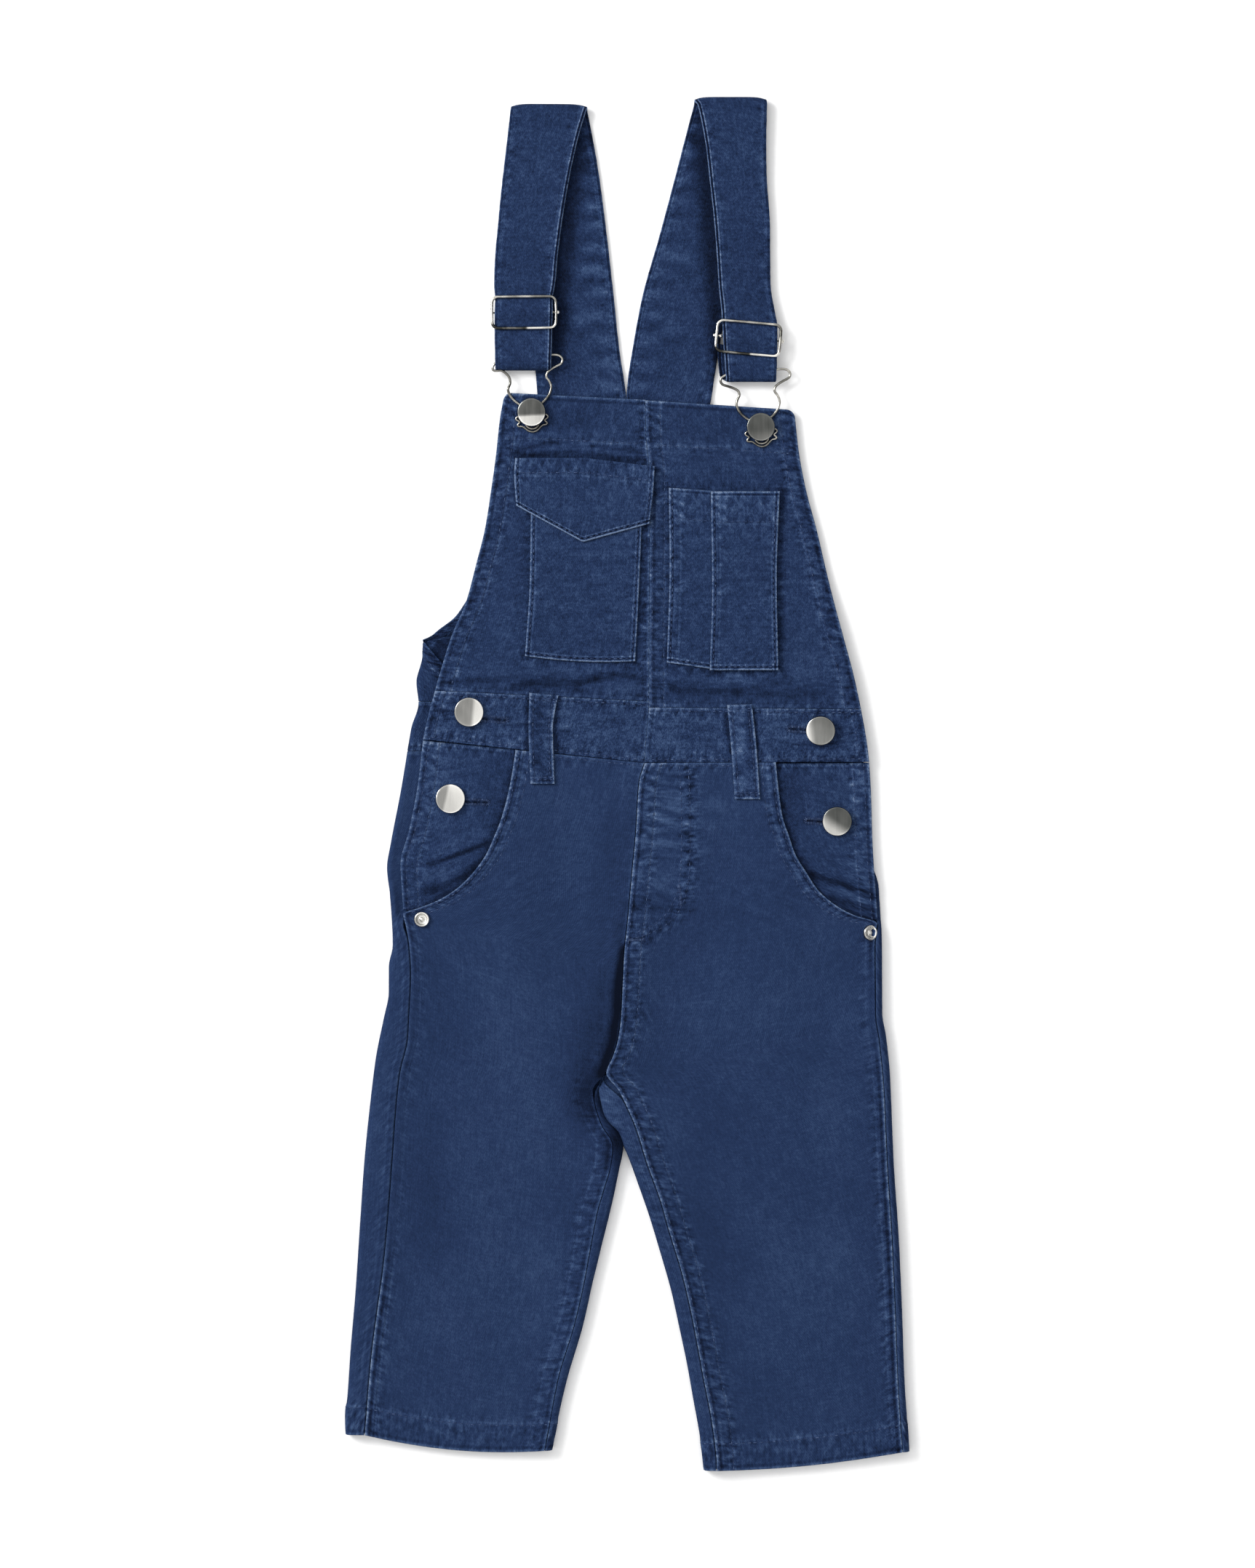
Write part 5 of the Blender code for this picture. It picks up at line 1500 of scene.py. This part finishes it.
BUTTON_RADIUS = 7.45
BIB_BUTTON_RADIUS = 7.15
BUTTON_THICK = 2.2
BUTTON_DOME = 0.34  # how far the cap's face falls from its middle to its rim
LEAN_ROOM = 0.75  # of what leaning lowers a cap's rim, how much it is lifted
SHANK_RADIUS = 2.3
DARK_RIM = 0.30  # how much darker a cap's very rim is painted, a painted reflection
DARK_RIM_FROM = 0.96  # of the radius, where that painted darkening begins
RIVET_RISE = 0.8  # of the side seam's lift, how much a rivet takes
WIRE_RADIUS = 0.75
SAME_SPOT = 0.000002  # in metres: points of a small piece nearer than this are one
SIDE_BUTTONS = {
    "side_button_upper_l": (-80.5, 36.5), "side_button_lower_l": (-90, -7.5),
    "side_button_upper_r": (98, 27), "side_button_lower_r": (106.5, -19),
}
BIB_BUTTONS = {"bib_button_l": (-48.8, 188.9), "bib_button_r": (67.7, 181.4)}
# How each button leans about X and Y in degrees, and the reflection painted into its colour.
BUTTON_LOOKS = {
    "side_button_upper_l": ((4, 7), (0.40, 1.10, 1.0, -0.10, 0.30, 0.22)),
    "side_button_lower_l": ((-3, 6), (0.44, 1.15, 0.97, -0.22, -0.28, 0.16)),
    "side_button_upper_r": ((9, -4), (0.20, 0.90, -1.0, -0.15, 0.66, 0.34)),
    "side_button_lower_r": ((7, -3), (0.04, 0.62, -0.55, -0.83, 0.26, 0.42)),
    "bib_button_l": ((4, -1), (0.08, 1.15, 0.05, -1.0, 0.24, 0.14)),
    "bib_button_r": ((2, 1), (0.05, 0.22, 0.10, -1.0, 0.45, 0.40)),
}
# x, y, and how many degrees each rivet leans over the side.
RIVETS = {"pocket_rivet_l": (-104.5, -68.8, 0), "pocket_rivet_r": (123.2, -75.6, 30)}
EYELET = (
    (0, 1.05), (0.5, 0.98), (0.9, 0.70), (1.2, 0.25), (1.6, 0.1), (2.1, 0.15), (2.5, 0.5),
    (2.8, 1.0), (3.1, 1.2), (3.4, 1.2), (3.7, 1.0), (3.95, 0.55), (4.05, 0), (0, 0),
)
EYELET_REFLECTION = (0.45, 1.1, 1.0, 0.3, 0.0, 1.2)

# The caps' reflections are painted into their colour: a dark side, a bright side and a darker rim.
cap_nickel, plate, plug = finish("cap_nickel", {"Metallic": 1.0})
place = plate.node("TexCoord", output=3)
brushed = place.speckle((1100, 60, 60), 2.0)
cloudy = place.speckle((150, 120, 120), 1.0)
polish = plate.node("Attribute", {"attribute_name": "polish"}, output=2)
plug("Base Color", (polish + brushed * 0.10 + cloudy * 0.16).clamped().colored(
    ((0.0, (0.10, 0.105, 0.10)), (0.5, (0.45, 0.445, 0.425)), (1.0, (0.93, 0.915, 0.87)))
))
plug("Roughness", 0.24 + brushed * 0.10 + cloudy * 0.10)
ripple = brushed * 0.006 + cloudy * 0.08
plug("Normal", plate.node("Bump", None, {"Height": ripple, "Distance": 0.001}))


def resting(x, y, radius, layer=0):
    """The height at which a disc lies just clear of the front."""
    around = [math.radians(30 * k) for k in range(12)]
    rim = (front_top(x + radius * math.cos(a), y + radius * math.sin(a), layer) for a in around)
    return max(front_top(x, y, layer), *rim) + GAP


def lathe(profile, steps):
    """The bmesh of a round body about Z, turned from (radius, height) points in mm."""
    bm = bmesh.new()
    points = [bm.verts.new(Vector((radius, 0, height)) * MM) for radius, height in profile]
    edges = [bm.edges.new(pair) for pair in zip(points, points[1:])]
    bmesh.ops.spin(
        bm, geom=points + edges, axis=(0, 0, 1), cent=(0, 0, 0), steps=steps, angle=2 * math.pi,
        use_merge=True, use_duplicate=False,
    )
    bmesh.ops.remove_doubles(bm, verts=bm.verts[:], dist=SAME_SPOT)
    bmesh.ops.recalc_face_normals(bm, faces=bm.faces[:])
    return bm


def metal_piece(slot, bm, metal):
    piece = put_in_scene(slot + "_metal", bm, metal)
    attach(piece, "root")
    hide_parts(slot)
    slot + "_nickel"


def turned(slot, profile, x, y, tilt, polish):
    """A cap or an eyelet turned from (radius, height) points down its outer side. tilt leans its top
    by degrees about X and Y. The reflection painted into its colour gives how bright it is on its
    dark and its bright side, the way from the one to the other, and where in its radius and how
    softly they meet; its rim is painted darker."""
    dull, fine, way_x, way_y, meet, soft = polish
    bm = lathe(profile, 48)
    reflection_layer = bm.verts.layers.float.new("polish")
    rim = max(radius for radius, height in profile) * MM
    for vert in bm.verts:
        painted_dark_rim = DARK_RIM * ease(DARK_RIM_FROM, 1.0, math.hypot(vert.co.x, vert.co.y) / rim)
        share = ease(meet - soft, meet + soft, (way_x * vert.co.x + way_y * vert.co.y) / rim)
        vert[reflection_layer] = dull + (fine - dull) * share - painted_dark_rim
    middle = Vector((0, 0, profile[0][1] - 1)) * MM
    about_x, about_y = (math.radians(degrees) for degrees in tilt)
    lean = Matrix.Rotation(about_x, 3, "X") @ Matrix.Rotation(about_y, 3, "Y")
    bmesh.ops.rotate(bm, verts=bm.verts[:], cent=middle, matrix=lean)
    bmesh.ops.translate(bm, verts=bm.verts[:], vec=Vector((x, y, 0)) * MM)
    metal_piece(slot, bm, cap_nickel)


def shank_button(slot, x, y, foot, cap, rim):
    """foot and cap are the heights of the shank's foot and the cap's underside."""
    tilt, polish = BUTTON_LOOKS[slot]
    cap += rim * math.sin(math.radians(max(abs(lean) for lean in tilt))) * LEAN_ROOM
    top = cap + BUTTON_THICK
    rings = (0, 0.4, 1.0, 1.8, 2.6, 3.4, 4.2, 5.0, 5.6, 6.2, rim - 0.5)
    dome = [(r, top - BUTTON_DOME * (r / rim) ** 2) for r in rings]
    turned(slot, dome + [
        (rim - 0.25, top - 0.37), (rim - 0.1, top - 0.50), (rim - 0.02, top - 0.72),
        (rim, top - 1.0), (rim, top - 1.55), (rim - 0.12, cap + 0.25), (rim - 0.5, cap),
        (SHANK_RADIUS + 0.3, cap + 0.15), (SHANK_RADIUS, cap - 0.1), (SHANK_RADIUS, foot),
        (0, foot),
    ], x, y, tilt, polish)


for slot, (x, y) in SIDE_BUTTONS.items():
    layer = -1 if "lower" in slot else 0
    lying = resting(x, y, BUTTON_RADIUS, layer)
    shank_button(slot, x, y, UNDERLAP_TOP + GAP, lying, BUTTON_RADIUS)
for slot, (x, y) in BIB_BUTTONS.items():
    cap = resting(x, y, BUTTON_RADIUS) + 2 * WIRE_RADIUS + GAP
    shank_button(slot, x, y, front_top(x, y) - DENIM, cap, BIB_BUTTON_RADIUS)
for slot, (x, y, lean) in RIVETS.items():
    base = front_top(x, y) + outer_lift(y) * RIVET_RISE + 2 * GAP
    turned(slot, [(r, base + h) for r, h in EYELET], x, y, (0, lean), EYELET_REFLECTION)

# ------------------------------------------------------------------ sliders and hooks
# Bent nickel-plated wire. The slider is an oblong ring with a ball-ended bar across it, and the
# hook hangs from the strap's end and closes under the bib's button.

BAR_RADIUS = 0.6
BALL_RADIUS = 1.2
COLLAR_RADIUS = 0.95
BAR_OUTSIDE = 2.1  # how far the slider's bar reaches out past its ring
HOOK_WIRE_RADIUS = 0.66
KEEPER_WIRE_RADIUS = 0.52
WIRE_STEP = 0.7
WIRE_SHINE, BAR_SHINE = 0.40, 0.75
SLIDER_L = (-52.6, 239.7, 0.6)  # x, y, tilt in degrees
SLIDER_R = (61.4, 226.6, -5.2)
SLIDER_HALF_WIDTH = 16.2
SLIDER_HALF_HEIGHT = 7.95
SLIDER_CORNER = 3.0
SLIDER_HEIGHT = 6.45
BAR_HEIGHT = 4.8
HOOK_TILT = {"l": 4.5, "r": 6.0}
HOOK_BAR_HEIGHT = 4.55

# The wire's reflections are painted into its colour: a brightness for each place, with dark and
# bright patches along it.
wire_nickel, drawn, plug = finish("wire_nickel", {"Metallic": 1.0})
place = drawn.node("TexCoord", output=3)
patchy = place.speckle((120, 150, 60), 2.0)
fine = place.speckle((800, 800, 300), 2.0)
shine = drawn.node("Attribute", {"attribute_name": "polish"}, output=2)
plug("Base Color", (shine + patchy * 1.7 + fine * 0.3).clamped().colored(
    ((0.0, (0.05, 0.05, 0.045)), (0.45, (0.34, 0.33, 0.30)), (1.0, (0.95, 0.92, 0.85)))
))
plug("Roughness", 0.22 + fine * 0.12)
plug("Normal", drawn.node("Bump", None, {"Height": patchy * 0.25 + fine * 0.03, "Distance": 0.001}))


def placed(points, x, y, tilt):
    """Points turned by tilt degrees about their origin and moved to (x, y)."""
    cos, sin = math.cos(math.radians(tilt)), math.sin(math.radians(tilt))
    return [Vector((x + px * cos - py * sin, y + px * sin + py * cos, pz)) for px, py, pz in points]


def wire(slot, points, radius, closed=False, sides=12, polish=None):
    """A round wire bent smoothly through points, with a reflection painted into its colour: a
    function can give its brightness at a place.
    """
    if closed:
        points = points[-2:] + points + points[:3]
    marks = along(points)
    start, end = (marks[2], marks[-3]) if closed else (0.0, marks[-1])
    count = int((end - start) / WIRE_STEP)
    bm = bmesh.new()
    bmesh.ops.create_grid(bm, x_segments=sides, y_segments=count, size=0.5)
    reflection_layer = bm.verts.layers.float.new("polish")
    rings = []
    for k in range(count + 1):
        centre, way = curve_through(points, marks, start + (end - start) * k / count)
        out = Vector((0, 0, 1)).cross(way).normalized()
        up = way.cross(out).normalized()
        rings.append((centre, out, up))
    for vert in bm.verts:
        k = round((vert.co.y + 0.5) * count)
        angle = 2 * math.pi * round((vert.co.x + 0.5) * sides) / sides
        centre, out, up = rings[k]
        vert.co = (centre + out * radius * math.cos(angle) + up * radius * math.sin(angle)) * MM
        vert[reflection_layer] = polish(centre) if polish else WIRE_SHINE
    bmesh.ops.remove_doubles(bm, verts=bm.verts[:], dist=SAME_PLACE)
    if not closed:
        rims = [edge for edge in bm.edges if edge.is_boundary]
        for centre in (rings[0][0] * MM, rings[-1][0] * MM):
            end_rim = [e for e in rims if (e.verts[0].co - centre).length < 2 * radius * MM]
            bmesh.ops.contextual_create(bm, geom=end_rim)
    bmesh.ops.recalc_face_normals(bm, faces=bm.faces[:])
    metal_piece(slot, bm, wire_nickel)


for side, (x, y, tilt) in (("l", SLIDER_L), ("r", SLIDER_R)):
    corners = []
    for quarter, (cx, cy) in enumerate(((1, 1), (-1, 1), (-1, -1), (1, -1))):
        for k in range(4):
            angle = math.pi / 2 * (quarter + k / 3)
            corners.append((
                cx * (SLIDER_HALF_WIDTH - SLIDER_CORNER) + SLIDER_CORNER * math.cos(angle),
                cy * (SLIDER_HALF_HEIGHT - SLIDER_CORNER) + SLIDER_CORNER * math.sin(angle),
                SLIDER_HEIGHT,
            ))

    def ring_reflection(at, x=x, y=y, tilt=tilt):
        """Painted reflection: the lower bar is dark as far as the joint in the ring and bright beyond
        it.
        """
        turned_back = placed([(at.x - x, at.y - y, 0)], 0, 0, -tilt)[0]
        if turned_back.y < 2 - SLIDER_HALF_HEIGHT:
            return 0.10 + 0.85 * ease(0.8, 2.0, turned_back.x)
        return 0.40 + 0.35 * ease(-12, -16, turned_back.x)

    ring = placed(corners, x, y, tilt)
    wire("slider_" + side, ring, WIRE_RADIUS, closed=True, polish=ring_reflection)

    # A ball, a neck and a collar. The left bar has them at one end only.
    reach = SLIDER_HALF_WIDTH + BAR_OUTSIDE
    round_ball = (0, 0.3, 0.6, 0.9, 1.2, 1.57, 1.9, 2.2)
    end = [(BALL_RADIUS * math.sin(a), reach - BALL_RADIUS * (1 - math.cos(a))) for a in round_ball]
    end += [
        (BAR_RADIUS, reach - 2.0), (BAR_RADIUS, reach - 3.2), (COLLAR_RADIUS, reach - 3.5),
        (COLLAR_RADIUS, reach - 4.5), (BAR_RADIUS, reach - 4.8),
    ]
    plain = [(BAR_RADIUS, -reach + 2.3), (BAR_RADIUS * 0.7, -reach + 2.0), (0, -reach + 1.9)]
    bm = lathe(end + (plain if side == "l" else [(r, -h) for r, h in reversed(end)]), 16)
    reflection_layer = bm.verts.layers.float.new("polish")
    for vert in bm.verts:
        vert[reflection_layer] = BAR_SHINE
    turn = Matrix.Rotation(math.radians(tilt), 4, "Z") @ Matrix.Rotation(math.pi / 2, 4, "Y")
    lying = Matrix.Translation(Vector((x, y, BAR_HEIGHT)) * MM) @ turn
    bmesh.ops.transform(bm, verts=bm.verts[:], matrix=lying)
    metal_piece("slider_bar_" + side, bm, wire_nickel)

for side, (x, y) in (("l", BIB_BUTTONS["bib_button_l"]), ("r", BIB_BUTTONS["bib_button_r"])):
    lying = resting(x, y, BUTTON_RADIUS) + WIRE_RADIUS
    bar = HOOK_BAR_HEIGHT
    # x, y and height, from the bar in the strap's end to the foot of the loop.
    right = (
        (7, 28.4, bar), (13.6, 28.4, bar), (16.4, 27.7, bar), (17.8, 25.8, bar), (17.1, 23.8, bar),
        (14.2, 22.4, bar), (11.3, 21.0, bar), (9.4, 19.4, bar), (9.0, 17.4, bar),
        (10.2, 15.4, bar - 0.2), (11.0, 12.5, lying + 0.1), (10.0, 9.1, lying),
        (7.6, 6.1, lying), (5.0, 3.8, lying), (3.9, 0.8, lying), (3.7, -2.5, lying),
        (3.5, -5.2, lying), (2.3, -7.4, lying),
    )
    ear = (
        (7, 27.6, bar), (12.5, 27.4, bar), (16, 26.6, bar), (17.9, 24.7, bar), (17.7, 23.0, bar),
        (16, 22.6, bar), (13.6, 22.5, bar), (11.4, 20.8, bar), (9.9, 18.6, bar),
        (9.6, 16.0, bar - 0.2),
    )
    left = ear + right[10:] if side == "l" else right
    left = [(-px, py, pz) for px, py, pz in reversed(left)]
    loop = list(right) + [(0, -8.2, lying)] + left
    wire("hook_" + side, placed(loop, x, y, HOOK_TILT[side]), HOOK_WIRE_RADIUS, closed=True)
    half = (
        (5.4, -1.2), (7.2, -1.5), (8.2, -2.6), (7.3, -3.6), (6.2, -4.1), (7.0, -5.2), (7.7, -5.9),
        (6.9, -6.6), (5.2, -6.7), (3.9, -7.7), (2.3, -9.1),
    )
    ends = [(px, py, lying + 0.1) for px, py in half]
    keeper = ends + [(0, -9.8, lying + 0.1)] + [(-px, py, pz) for px, py, pz in reversed(ends)]
    wire("hook_keeper_" + side, placed(keeper, x, y, HOOK_TILT[side]), KEEPER_WIRE_RADIUS)
